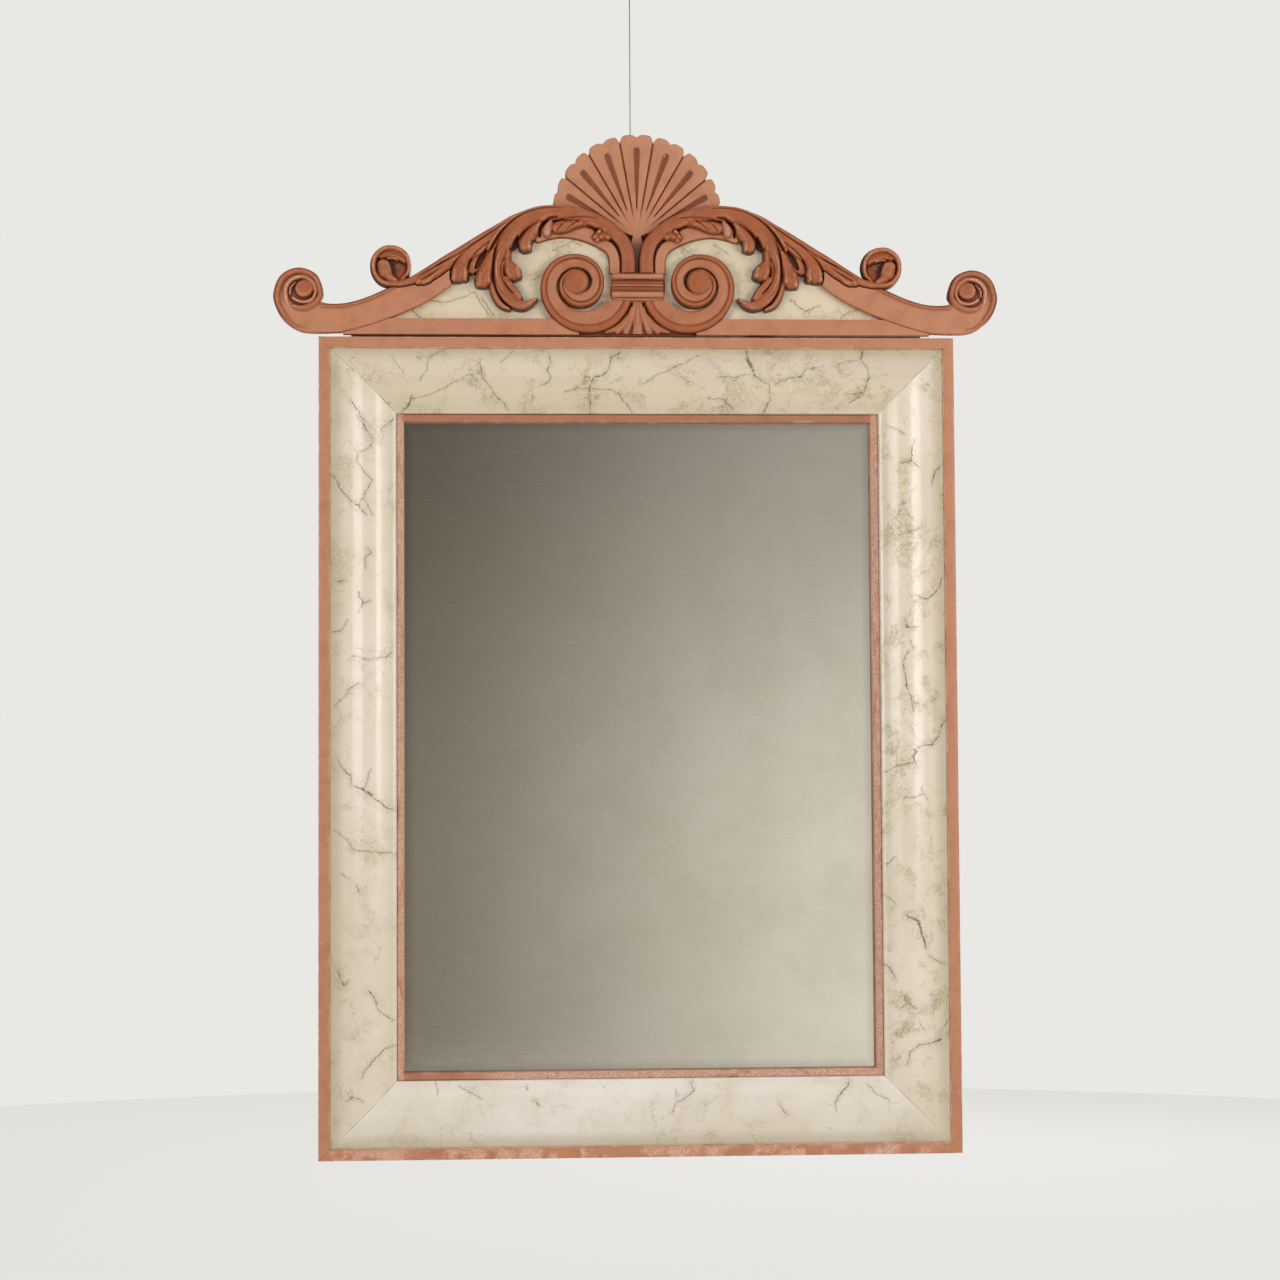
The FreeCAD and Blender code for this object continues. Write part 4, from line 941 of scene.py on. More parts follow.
LEAF_STROKES = [
    (section_flat, 0.1, [(27, 72, 6.5, 8), (27.5, 92, 6.5, 8), (33, 104, 6.5, 8), (45, 112.5, 7, 7),
                         (60, 121, 9, 7), (76, 123.5, 7.5, 7), (92, 123.5, 6.5, 7), (107, 122, 7.5, 7),
                         (118, 116, 5, 7)]),
    (section_flat, 0.9, [(120, 128, 10, 9), (138, 121, 9, 9), (156, 108, 10, 9), (168, 96, 9, 9),
                         (184, 90, 13, 9), (204, 84, 12, 9), (222, 85, 5, 9), (244, 72, 5, 9),
                         (262, 66, 5, 9)]),
    (section_full, 0.85, [(166, 121, 4, 14), (171, 105, 4.4, 13.5), (174, 88, 4.6, 13),
                          (174.5, 72, 4.4, 12.5), (172, 57, 4.2, 12), (168.4, 45, 4, 12.5),
                          (162, 35.5, 3.4, 13), (153, 30.5, 2, 13)]),
    (section_full, 0.8, [(128, 146, 4, 18), (146, 137, 6, 18.5), (160, 127, 7.4, 18.5), (176, 116, 9, 18),
                         (192, 105, 10, 17.5), (208, 95, 10, 16.5), (224, 86.6, 9, 15.5),
                         (240, 78, 7.5, 14.5), (256, 69.6, 6, 14), (268, 63.8, 5, 14), (282, 60, 4.2, 14)]),
    (section_full, 0.95, [(11, 71, 8.8, 13), (11, 92, 8.6, 13.5), (15, 108, 8.4, 14.5),
                          (26, 121.5, 7.8, 16), (42, 133, 8, 17.5), (60, 140.5, 8, 19), (80, 145.2, 9, 20),
                          (100, 145.7, 9, 20.5), (120, 142.7, 9.6, 21), (136, 135, 10.4, 21),
                          (148, 124, 10, 21), (157, 110, 8.5, 20.5), (162, 96, 6.8, 20),
                          (164.5, 82, 6.2, 20), (165, 70, 6.2, 20), (162, 58, 7, 20), (156, 48, 7.5, 19.5),
                          (148, 39.5, 7, 19), (138, 34.5, 5.6, 18), (129, 36.5, 4, 17), (122, 42, 2.4, 15)]),
    (section_full, 0.85, [(157, 66, 4, 17.5), (153, 58, 5.6, 18.5), (147.5, 50.5, 6.2, 18.5),
                          (141.5, 43.5, 4.6, 17.5)]),
    (section_round, 0.7, [(162, 101, 2.2, 20.8), (166.8, 87, 2.6, 22), (167.4, 72, 2.6, 22),
                          (164.6, 60, 2.6, 21.5), (158.5, 49.5, 2.4, 21), (149.5, 42, 2, 20)]),
    (section_round, 0.6, [(140, 126, 1.6, 20.8), (147.5, 120.5, 1.8, 22), (152.6, 111, 1.8, 22),
                          (154.6, 101, 1.5, 21)]),
    (section_round, 0.6, [(146, 137.5, 1.5, 19), (160, 127, 1.9, 20), (170.5, 114, 2, 20),
                          (177.6, 101.5, 1.6, 18.5)]),
    (section_round, 0.9, [(205, 93, 7, 16), (210, 82, 9.4, 18), (212.6, 71.5, 9.6, 18.8)]),
    (section_round, 0.9, [(172, 98, 4.5, 15.5), (177.5, 82, 7.6, 17.5), (183, 67, 9.8, 18.8),
                          (183.6, 65, 9.8, 18.8)]),
    (section_round, 0.85, [(222, 86, 6, 15), (238, 75, 7.2, 16), (252, 66.5, 7, 16.5), (260, 62.6, 5, 16)]),
    (section_round, 0.95, [(154, 99, 3.6, 16.5), (155, 87, 5.6, 18), (150.5, 76, 10, 19.6),
                           (149, 74, 10.6, 19.6)]),
    (section_round, 0.95, [(117, 132, 5, 15.5), (125.5, 122.5, 7, 17.5), (132, 112, 7.4, 18.6),
                           (133.8, 105, 7, 18.6)]),
    (section_round, 0.8, [(205.6, 78, 3.6, 18), (205, 67.6, 4.4, 18.6)]),
    (section_round, 0.9, [(216, 76, 4, 18.6), (217.4, 66.6, 4.6, 19)]),
    (section_round, 0.8, [(176.6, 76, 3.4, 17.8), (177.4, 63.6, 4.2, 18.4)]),
    (section_round, 0.9, [(186, 72, 4, 18.6), (187.6, 60.4, 4.8, 19)]),
    (section_round, 0.75, [(129.6, 110, 3, 18.2), (129.2, 102.6, 3.4, 18.4)]),
    (section_round, 0.8, [(153.6, 84, 2.6, 18.8), (154.6, 76, 4, 20.2), (151.6, 68.6, 4.6, 20.2)]),
    (section_round, 0.9, [(143.6, 79, 3, 18.6), (142, 70.6, 4.6, 19.4)]),
    (section_round, 0.8, [(242, 70, 3, 16.6), (247.4, 64.4, 3.8, 17), (254, 61.4, 3.6, 17)]),
    (section_round, 0.3, [(103.5, 134, 4, 14), (106.5, 127, 5.8, 15.6), (107.6, 122.6, 5.4, 15)]),
    (section_round, 0.95, [(46, 133.5, 3, 13.5), (60, 134.6, 4, 14.5), (74, 133, 5.4, 16),
                           (86, 130, 7.4, 17.4), (94, 128.6, 7.2, 17.4), (97.5, 128, 6, 16.5)]),
    (section_full, 0.95, [(31, 118, 4, 12.5), (40, 120, 6, 13), (48, 117, 4, 12.5)]),
    *[(section_round, 0.9, [(bud_u, bud_v, half, tall), (bud_u + 1.6, bud_v + lean, half * 0.9, tall)])
      for bud_u, bud_v, half, tall, lean in ((31, 121.5, 3.2, 15, 1), (38, 124.6, 3.4, 16.4, 0.4),
                                             (45, 123, 3.2, 16.4, -1), (49, 118, 2.8, 15.6, -1.4),
                                             (42.5, 116.6, 2.8, 15.6, 0.6), (35, 116.4, 2.8, 15, 0.4),
                                             (47, 113.4, 2.2, 14, -0.6))],
    (section_bowl, 1.0, [(291, 80, 20, 12), (292, 82, 20, 12)]),
    (section_round, 0.95, [(262, 66.5, 5, 13.5), (274, 61.6, 4.4, 14), (289, 59.6, 4.2, 14.5),
                           (302.6, 62.4, 3.8, 15.5), (311, 72, 3.6, 16.5), (312.8, 84, 3.6, 17.6),
                           (309, 94, 4, 19), (299, 100.6, 4.4, 20.2), (288, 101, 4.4, 20.2),
                           (278.6, 97, 4, 19.4), (272.6, 89, 3.2, 18.4), (270.8, 80, 2.8, 17.2),
                           (273, 71.6, 2.4, 15.6), (279, 66.6, 1.8, 13)]),
    (section_round, 0.65, [(301.4, 81.4, 8, 20), (299.6, 74, 8.4, 20)]),
    (section_round, 0.75, [(299.6, 74, 8, 19.4), (294.6, 67.6, 5.6, 17.4), (287, 63.4, 3.6, 15)]),
    (section_full, 0.9, [(304, 91, 2.6, 15.6), (294, 94.6, 4, 16.4), (283, 91.6, 3.6, 15.8),
                         (276, 86, 2, 14.6)]),
    (section_round, 0.85, [(305.4, 91.4, 1.3, 17.4), (298, 95.8, 1.6, 19), (288, 96.4, 1.6, 19),
                           (279.4, 92.4, 1.4, 18), (275.4, 86, 1.1, 16.4)]),
    (section_round, 0.75, [(301, 91.4, 1.2, 16.4), (294, 93.2, 1.4, 17.4), (285.6, 92, 1.4, 17),
                           (280, 88, 1.1, 15.4)]),
    (section_round, 0.75, [(297, 89.4, 1.1, 15), (290.6, 90, 1.2, 15.6), (285, 88.2, 1.1, 15)]),
]
LEAF_CUTS = [
    [(180.4, 100, 1.4, 9), (185, 92.5, 3.4, 16), (190, 83.5, 3.0, 16), (192, 79.6, 1.4, 8)],
    [(142.6, 116, 1.8, 10), (145.4, 108, 3.6, 17), (145, 100, 3.6, 17), (141.6, 97, 2, 10)],
    [(124.6, 111.5, 1.6, 9), (122.4, 107.5, 2.6, 13), (125, 103, 1.6, 9)],
    [(198.6, 72, 1.8, 10), (200, 66.5, 3.4, 14), (194.5, 66, 2, 10)],
    [(95, 139.6, 1.2, 4), (104, 138.4, 1.8, 6), (112, 133, 2, 7), (116.4, 125.5, 2, 7), (116, 118, 1.6, 6)],
    [(90, 151.2, 1, 2.4), (108, 150.6, 1.1, 3), (126, 146.8, 1.1, 3), (142, 139.4, 1.2, 3.4),
     (155, 129, 1.3, 4), (166.5, 115.5, 1.4, 4.6), (174, 101.5, 1.2, 3.6)],
    [(163, 112, 0.8, 1.8), (169.6, 98, 1, 3), (171, 84, 1, 3), (170.6, 68, 1, 3), (167.8, 53, 1, 3),
     (162, 42, 1, 2.6), (154, 34, 0.8, 2)],
    [(158.5, 90, 0.9, 2.2), (162.4, 80, 1, 2.8), (161.6, 68, 1, 2.8), (156.4, 57, 1, 2.6),
     (148, 48, 0.9, 2.2)],
    [(152, 136, 0.9, 2), (172, 122.4, 1.2, 3), (192, 109, 1.3, 3.2), (214, 94.4, 1.2, 2.8),
     (238, 81.6, 0.9, 2)],
    [(176, 110, 0.9, 2), (190, 98.5, 1.3, 3.2), (198.6, 88, 1.3, 3.4), (202, 78, 1.1, 3)],
    [(200, 102, 0.9, 2), (214, 89, 1.2, 3), (220.6, 78, 1.2, 3.6), (221.4, 68, 1.2, 4)],
    [(216, 95, 0.8, 1.8), (232, 85, 1, 2.6), (248, 76, 1, 2.6), (264, 67.5, 0.8, 1.8)],
    [(232, 80, 0.9, 2), (244, 71.5, 1.2, 3.2), (256, 64.5, 1, 2.8)],
    [(136, 82.4, 1.6, 4), (140, 81.6, 2, 5), (143, 84, 1.4, 3)],
    [(66, 138, 0.8, 1.6), (75, 133, 1, 2.6), (83, 125.5, 1, 2.6)],
    [(84, 136, 0.8, 1.8), (91, 130, 1, 2.8), (95.6, 123, 0.9, 2.4)],
    [(56, 136.6, 0.7, 1.2), (62, 133.4, 0.8, 1.8), (68, 128.6, 0.8, 1.8)],
    [(50, 138.4, 0.8, 2.2), (66, 139.6, 0.9, 2.6), (82, 138.6, 0.9, 2.4), (92, 138, 0.8, 2)],
    [(19.8, 74, 0.9, 2.4), (19.6, 92, 0.9, 2.6), (24, 107, 0.9, 2.6), (32, 114.6, 0.9, 2.4)],
    [(129, 118, 0.7, 1.4), (132.4, 110, 0.8, 1.6), (133.6, 103, 0.7, 1.4)],
    [(207, 84, 0.7, 1.2), (211.6, 76, 0.8, 1.4), (213.6, 68, 0.7, 1.2)],
    [(178, 80, 0.7, 1.2), (182.6, 71, 0.8, 1.4), (184.6, 62, 0.7, 1.2)],
]


def leaf_field(u, v):
    height = np.full(u.shape, BELOW_ALL)
    tint = np.ones(u.shape)
    carve(u, v, height, tint, LEAF_STROKES)
    outline = (height - OUTLINE_LEVEL) / WALL_SLOPE
    gouge(u, v, height, LEAF_CUTS, LEAF_FLOOR)
    return height, tint, np.minimum(outline, v - np.where(u < 60, LEAF_FOOT, 0))


for side, hand in (("right", 1), ("left", -1)):
    spray = relief("carved_acanthus_" + side, leaf_field, (1, 320, 22, 160), hand)
    spray.data.materials.append(salmon_carving)
    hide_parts("acanthus_" + side)
    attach(spray, "frame")


# Arms: long S-shaped wings sawn from board, scribed round the leaf and glued to the tympanum. Their top edge
# is rolled, and each ends in a carved volute with a raised eye.
ARM_T = 12.0
ARM_EDGE = 1.6
VOLUTE = (401.0, 49.0)
VOLUTE_HEART = (399.0, 50.5)
VOLUTE_R = 29.5
VOLUTE_BOWL_R = 20.0
VOLUTE_BOWL_DEEP = 5.5
VOLUTE_TURN = [(255, 1.66), (275, 1.465), (300, 1.245), (328, 1.08), (360, 1.0), (405, 0.99), (450, 1.0),
               (495, 1.02), (540, 1.0), (563, 0.94)]
ARM_SEAM = [(221.5, 58.5), (245.4, 42.1), (268.7, 30.2), (301, 17), (330, 7.6), (352, 2.2)]
ARM_TOP = [(365, 35.8), (349, 36.2), (335, 39), (320, 44), (305, 50.5), (291, 57), (268, 66), (240, 76),
           (221.5, 82)]


def inside_loop(u, v, loop):
    """How far inside a closed outline each place lies; negative outside."""
    apart = np.full(u.shape, 1e9)
    inside = np.zeros(u.shape, bool)
    for a, b in zip(loop, np.roll(loop, -1, axis=0)):
        du, dv = b - a
        t = np.clip(((u - a[0]) * du + (v - a[1]) * dv) / max(du * du + dv * dv, 1e-9), 0, 1)
        apart = np.minimum(apart, np.hypot(u - a[0] - du * t, v - a[1] - dv * t))
        if dv != 0:
            inside ^= ((a[1] > v) != (b[1] > v)) & (u < a[0] + du * (v - a[1]) / dv)
    return np.where(inside, apart, -apart)


def around(centre, turns):
    """Points round the volute from (degrees, share of its radius, half-width, height) rows."""
    return [(centre[0] + VOLUTE_R * share * math.cos(math.radians(degrees)),
             centre[1] + VOLUTE_R * share * math.sin(math.radians(degrees)), half, tall)
            for degrees, share, half, tall in turns]


volute_rim = [point[:2] for point in around(VOLUTE, [(turn, share, 0, 0) for turn, share in VOLUTE_TURN])]
arm_loop = np.vstack([smooth_run(ARM_SEAM, RUN_STEP)[:-1],
                      smooth_run(ARM_SEAM[-1:] + volute_rim, RUN_STEP)[:-1],
                      smooth_run(volute_rim[-1:] + ARM_TOP, RUN_STEP)])
VOLUTE_BEAD = around(VOLUTE, [(258, 1.48, 1.0, 12.6), (272, 1.36, 1.8, 13.4), (286, 1.2, 2.6, 14),
                              (303, 1.06, 3.2, 14.8), (328, 0.94, 3.8, 15.5), (360, 0.86, 4.1, 16),
                              (405, 0.85, 4.2, 16.5), (450, 0.86, 4.2, 17), (495, 0.88, 4.0, 17),
                              (540, 0.87, 3.8, 16.5), (565, 0.81, 4.0, 16), (595, 0.7, 4.4, 15.5),
                              (625, 0.64, 4.0, 15), (655, 0.6, 2.8, 14)])
VOLUTE_RING = around(VOLUTE_HEART, [(290, 0.86, 2.0, 12.4), (315, 0.72, 2.8, 13.6), (345, 0.62, 3.2, 14.8),
                                    (380, 0.59, 3.2, 15.4), (420, 0.58, 3.1, 15.6),
                                    (460, 0.585, 3.0, 15.6), (500, 0.6, 2.8, 15.2), (540, 0.61, 2.4, 14.6),
                                    (575, 0.57, 2.2, 14.4), (610, 0.47, 2.0, 14.2), (645, 0.4, 1.8, 14),
                                    (680, 0.4, 1.6, 13.6)])
VOLUTE_INNER = around(VOLUTE_HEART, [(345, 0.44, 1.2, 13.6), (380, 0.41, 1.4, 14.6), (420, 0.4, 1.2, 14.6)])
ARM_BEAD = [(276, 60.4, 2.0, 14), (291, 53.6, 2.6, 14.4), (305, 47, 2.8, 14.6), (320, 40.8, 2.8, 14.6),
            (335, 35.8, 2.8, 14.6), (350, 33, 2.8, 14.4), (364, 32.4, 2.8, 14.2), (374, 32.6, 2.6, 14.4)]
VOLUTE_EYE = [(393, 54.4, 10.2, 16.6), (395, 53.6, 10.2, 16.6)]


def arm_field(u, v):
    within = inside_loop(u, v, arm_loop)
    height = ARM_T - 0.35 * np.maximum(0.0, ARM_EDGE - np.maximum(within, 0.0)) ** 2
    bowl = np.hypot(u - VOLUTE[0] + 3, v - VOLUTE[1] - 2)
    height = height - VOLUTE_BOWL_DEEP * np.clip((VOLUTE_BOWL_R - bowl) / 4, 0, 1)
    tint = np.zeros(u.shape)
    carve(u, v, height, tint, [(section_full, 0.8, ARM_BEAD), (section_full, 0.75, VOLUTE_BEAD),
                               (section_full, 0.1, VOLUTE_RING), (section_full, 0.3, VOLUTE_INNER),
                               (section_flat, 0.85, VOLUTE_EYE)])
    return height, tint, np.minimum(within, -leaf_field(u, v)[2] - SCRIBED_GAP)


for side, hand in (("right", 1), ("left", -1)):
    wing = relief("carved_arm_" + side, arm_field, (219, 433, -2, 84), hand)
    wing.data.materials.append(salmon_carving)
    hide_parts("arm_" + side)
    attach(wing, "frame")


# C-scrolls: a pair of spirals carved in wood, painted and glued to the board, rolling out from under the
# collar. They have a round bead outside and a domed face inside, and climb to a flat button in the middle.
SCROLL = (70.0, 62.0)
SCROLL_R = 59.0
SCROLL_OUTER = [(195, 1.12), (232, 1.11), (270, 1.0), (313, 0.865), (351, 0.78), (391, 0.695),
                (433, 0.594), (485, 0.535), (540, 0.51), (590, 0.525), (630, 0.508), (670, 0.455),
                (711, 0.4), (752, 0.325), (794, 0.27)]
SCROLL_INNER = [(195, 0.68), (203, 0.675), (224, 0.66), (241, 0.622), (257, 0.583), (277, 0.556),
                (315, 0.488), (351, 0.43), (392, 0.36), (434, 0.3), (480, 0.275), (530, 0.26), (612, 0.22),
                (700, 0.2), (794, 0.2)]
SCROLL_CLIMB = [(195, 12.5), (300, 14.5), (420, 17), (540, 19), (700, 20.5), (794, 21)]
SCROLL_EYE = [(73, 62.3, 15.5, 21.5), (74, 61.7, 15.5, 21.5)]
SCROLL_STEM = (38.5, 41.0, 82.0)
SCROLL_LINES = [(0.2, 0.035), (0.45, 0.04), (0.645, 0.075)]
SCROLL_LINE_W = 0.03
outer_run = smooth_run(SCROLL_OUTER, 4.0)
inner_run = smooth_run(SCROLL_INNER, 4.0)


def scroll_section(x):
    """Across the band, 0 at the inner edge and 1 at the outer: domed face, fine lines, rolled edge."""
    face = 0.7 + 0.24 * np.sqrt(np.maximum(0.0, 1 - ((x - 0.42) / 0.46) ** 2))
    roll = 0.66 + 0.34 * np.sqrt(np.maximum(0.0, 1 - ((x - 0.82) / 0.2) ** 2))
    lines = sum(deep * np.exp(-((x - at) / SCROLL_LINE_W) ** 2) for at, deep in SCROLL_LINES)
    return np.maximum(face, roll) - lines


def scroll_field(u, v):
    radius = np.hypot(u - SCROLL[0], v - SCROLL[1])
    angle = np.degrees(np.arctan2(v - SCROLL[1], u - SCROLL[0])) % 360
    height = np.full(u.shape, BELOW_ALL)
    tint = np.ones(u.shape)
    within = np.full(u.shape, BELOW_ALL)
    for lap in (0, 360, 720):
        turn = angle + lap
        outer = np.interp(turn, outer_run[:, 0], outer_run[:, 1]) * SCROLL_R
        inner = np.interp(turn, inner_run[:, 0], inner_run[:, 1]) * SCROLL_R
        tall = np.interp(turn, [p[0] for p in SCROLL_CLIMB], [p[1] for p in SCROLL_CLIMB])
        x = (radius - inner) / (outer - inner)
        edge = np.minimum(outer - radius, radius - inner)
        rise = tall * scroll_section(np.clip(x, 0, 1)) - WALL_SLOPE * np.maximum(0.0, -edge)
        on = (turn >= outer_run[0, 0]) & (turn <= outer_run[-1, 0])
        within = np.where(on, np.maximum(within, edge), within)
        higher = on & (rise > height)
        height[higher] = rise[higher]
        tint[higher] = np.where(x > 0.64, 1.0, 0.42)[higher]
    carve(u, v, height, tint, [(section_flat, 0.85, SCROLL_EYE)])
    clear_of_stem = np.maximum(np.maximum(SCROLL_STEM[1] - v, v - SCROLL_STEM[2]), u - SCROLL_STEM[0])
    within = np.maximum(within, SCROLL_EYE[0][2] - np.hypot(u - SCROLL_EYE[0][0], v - SCROLL_EYE[0][1]))
    return height, tint, np.minimum(within, clear_of_stem)


for side, hand in (("right", 1), ("left", -1)):
    spiral = relief("carved_scroll_" + side, scroll_field, (2, 120, 0, 98), hand)
    spiral.data.materials.append(salmon_carving)
    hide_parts("scroll_" + side)
    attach(spiral, "frame")


# Collar: a short reeded band carved in one piece that seems to tie the leaf stems and scrolls together, two
# salmon reeds with a darker hollow between them.
COLLAR_HALF_W = 30.3
COLLAR_FOOT = 41.0
COLLAR_PROFILE = [(0.6, 0.0), (0.6, 12.6), (1.2, 14.6), (2.2, 15.0), (2.9, 14.0), (3.6, 15.4), (5.2, 17.6),
                  (7.2, 18.2), (9.2, 17.4), (10.6, 15.2), (11.2, 12.4), (12.2, 11.6), (13.6, 12.2),
                  (15.2, 12.2), (16.6, 11.8), (17.4, 13.2), (18.4, 13.6), (19.4, 13.2), (20.2, 11.8),
                  (21.6, 12.2), (23.2, 12.2), (24.4, 11.6), (25.2, 12.4), (25.8, 15.2), (27.2, 17.0),
                  (29.0, 17.6), (30.8, 16.8), (32.0, 14.8), (32.6, 12.6), (32.6, 0.0)]
COLLAR_BOW = 2.6
COLLAR_SAG = 0.8
COLLAR_END = 0.06
COLLAR_COLUMNS = 61
COLLAR_SHARP = 50
COLLAR_HOLLOW = (11.0, 25.4)
COLLAR_LINE = 18.4
COLLAR_GROOVES = (2.9, 11.6, 24.8)
COLLAR_SOFT = 1.2
collar_points = []
for share in np.linspace(-1, 1, COLLAR_COLUMNS):
    shrink = 1 - COLLAR_END * abs(share) ** 10
    for rise, tall in COLLAR_PROFILE:
        stands = tall * shrink - COLLAR_BOW * share ** 2 if tall > 0 else 0.0
        collar_points.append((share * COLLAR_HALF_W / 1000, -(BOARD_FRONT + stands) / 1000,
                              CREST_Z + (COLLAR_FOOT + rise - COLLAR_SAG * (1 - share ** 2)) / 1000))
tie = new_piece("reeded_collar", collar_points, swept_faces(COLLAR_COLUMNS, len(COLLAR_PROFILE)),
                COLLAR_SHARP)
tie_shape = bmesh.new()
tie_shape.from_mesh(tie.data)
bmesh.ops.subdivide_edges(tie_shape, edges=[e for e in tie_shape.edges if e.calc_length() > 0.0008], cuts=1,
                          smooth=0.6, use_grid_fill=True)
tie_shape.to_mesh(tie.data)
tie_shape.free()
rise = (np.array([vertex.co.z for vertex in tie.data.vertices]) - CREST_Z) * 1000 - COLLAR_FOOT + 0.5
# The middle is painted terracotta and, with the grooves, washed dark, partly as painted shade; its thin line
# is left salmon and rubbed pale, partly as painted highlight.
middle = ((rise > COLLAR_HOLLOW[0]) & (rise < COLLAR_HOLLOW[1])).astype(float)
line = np.maximum(0.0, 1 - np.abs(rise - COLLAR_LINE) / COLLAR_SOFT)
groove = np.max([np.maximum(0.0, 1 - np.abs(rise - at) / COLLAR_SOFT) for at in COLLAR_GROOVES], axis=0)
mark_carving(tie, hollow=np.maximum(0.8 * groove, 0.3 * middle * (1 - line)),
             ridge=0.1 * (1 - middle) + 0.35 * line, tint=middle * (1 - 0.8 * line))
tie.data.materials.append(salmon_carving)
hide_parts("collar_band")
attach(tie, "frame")


# Calyx: a small fan of leaf under the collar, between the two scrolls. Carved in one piece, painted like
# them and glued to the board.
CALYX_STROKES = [
    (section_flat, 0.7, [(0, 40, 8, 4), (0, 22, 17, 4), (0, 5, 44, 4)]),
    (section_keeled, 0.4, [(0, 40.5, 3, 9), (0, 26, 4, 9.5), (0, 12, 5.4, 9), (0, 3, 6, 7.5)]),
    *[(section_round, tint, [(hand * u, v, half, tall) for u, v, half, tall in leaflet]) for hand in (1, -1)
      for tint, leaflet in (
          (0.45, [(3.2, 40, 2.2, 8), (5.6, 27, 3.2, 8.6), (9.4, 15, 4, 8.6), (14, 4.4, 4.4, 7)]),
          (0.5, [(7, 33, 1.8, 7.6), (10.4, 23, 2.8, 8), (16.4, 13, 3.8, 8), (24, 5, 4, 7)]),
          (0.5, [(13, 23, 1.8, 7), (19.6, 14, 3, 7.4), (28.4, 7.4, 3.6, 7), (36.4, 4.6, 2.8, 6)]))],
]
CALYX_FOOT = 1.6
CALYX_TOP = 40.9


def calyx_field(u, v):
    height = np.full(u.shape, BELOW_ALL)
    tint = np.zeros(u.shape)
    carve(u, v, height, tint, CALYX_STROKES)
    within = np.minimum((height - OUTLINE_LEVEL) / WALL_SLOPE, np.minimum(v - CALYX_FOOT, CALYX_TOP - v))
    return height, tint, np.minimum(within, -scroll_field(np.abs(u), v)[2] - SCRIBED_GAP)


fan_leaf = relief("carved_calyx", calyx_field, (-46, 46, 0, 43), 1)
fan_leaf.data.materials.append(salmon_carving)
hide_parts("calyx")
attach(fan_leaf, "frame")


# Shell: a seven-lobed scallop carved from the same board thickness, set behind the leaves. Each lobe is
# gently rounded, with a teardrop flute cut down it, a fine groove on either side and two waves in its rim.
SHELL_V = 119.0
SHELL_R = 123.0
SHELL_SIDE_DROP = 16.0
SHELL_LOBES = 7
SHELL_LOBE_DEG = 20.0
SHELL_HALF_FAN = SHELL_LOBES * SHELL_LOBE_DEG / 2
SHELL_NOTCH = 7.0
SHELL_DIP = 2.8
SHELL_WAVE = 0.8
SHELL_LOBE_RISE = 4.2
SHELL_GROOVE = 1.2
SHELL_FLUTE_DEEP = 2.2
SHELL_LIP = 0.9
SHELL_FLUTE = (0.28, 0.83, 0.895)
SHELL_BACK = 12.0
SHELL_COLUMNS = 70
SHELL_ROWS = 150
SHELL_INNER = 0.04
SHELL_FOOT_HALF_W = 7.5
SHELL_FOOT_V = 110.0


def shell_rim(degrees):
    """Rim radius: two waves to a lobe, a notch between lobes, drawing in towards the sides."""
    within = ((degrees + SHELL_HALF_FAN) / SHELL_LOBE_DEG) % 1.0
    wave = abs(math.sin(math.pi * 2 * within))
    notch = max(0.0, 1 - min(within, 1 - within) / 0.13) ** 1.6
    dip = max(0.0, 1 - abs(within - 0.5) / 0.16) ** 1.4
    drop = SHELL_SIDE_DROP * (degrees / SHELL_HALF_FAN) ** 2
    return SHELL_R - drop - SHELL_NOTCH * notch - SHELL_DIP * dip - SHELL_WAVE * (1 - wave)


def shell_height(share, within, radius):
    """Height over the board's face, and how hollow and how proud the carving is there: flutes and grooves
    washed dark partly as painted shade, lip and rims rubbed pale as wear and painted highlight.
    """
    x = abs(within - 0.5) * 2
    lobe_half = radius * math.radians(SHELL_LOBE_DEG) / 2
    rounded = SHELL_LOBE_RISE * share * math.sqrt(max(0.0, 1 - x ** 2)) + 1.2 * share ** 2
    groove = max(0.0, 1 - (1 - x) * lobe_half / 1.5)
    start, widest, end = SHELL_FLUTE
    flute_half = 0.0
    if start < share <= widest:
        flute_half = 0.6 + 3.8 * ((share - start) / (widest - start)) ** 1.05
    elif widest < share < end:
        flute_half = 4.4 * math.sqrt(1 - ((share - widest) / (end - widest)) ** 2)
    flute = 0.0
    if flute_half > 0:
        flute = max(0.0, 1 - (x * lobe_half / flute_half) ** 4)
    fades = min(1.0, max(0.0, (share - 0.16) / 0.2))
    lip = max(0.0, 1 - (1 - share) * radius / 2.4) ** 2
    height = rounded - SHELL_GROOVE * groove * fades - SHELL_FLUTE_DEEP * flute - SHELL_LIP * lip
    return height, max(0.8 * groove * fades, 0.64 * flute), max(0.42 * lip, 0.3 * share ** 4 * (1 - flute))


columns = SHELL_LOBES * SHELL_COLUMNS + 1
shell_points = []
shell_marks = []
for column in range(columns):
    degrees = -SHELL_HALF_FAN + SHELL_LOBE_DEG * column / SHELL_COLUMNS
    within = (column % SHELL_COLUMNS) / SHELL_COLUMNS
    turn = math.radians(degrees)
    rim = shell_rim(degrees)
    for row in range(SHELL_ROWS):
        share = SHELL_INNER + (1 - SHELL_INNER) * row / (SHELL_ROWS - 1)
        radius = share * rim
        height, hollow, ridge = shell_height(share, within, radius)
        # The shell's foot, behind the leaf stems, is washed dark as painted shade
        if row == 0:
            shell_points.append((SHELL_FOOT_HALF_W * degrees / SHELL_HALF_FAN / 1000, -BOARD_FRONT / 1000,
                                 CREST_Z + SHELL_FOOT_V / 1000))
            shell_marks.append((0.4, 0.0, 0.3))
            continue
        shell_points.append((radius * math.sin(turn) / 1000, -(BOARD_FRONT + height) / 1000,
                             CREST_Z + (SHELL_V + radius * math.cos(turn)) / 1000))
        shell_marks.append((hollow, ridge, hollow * 0.6))
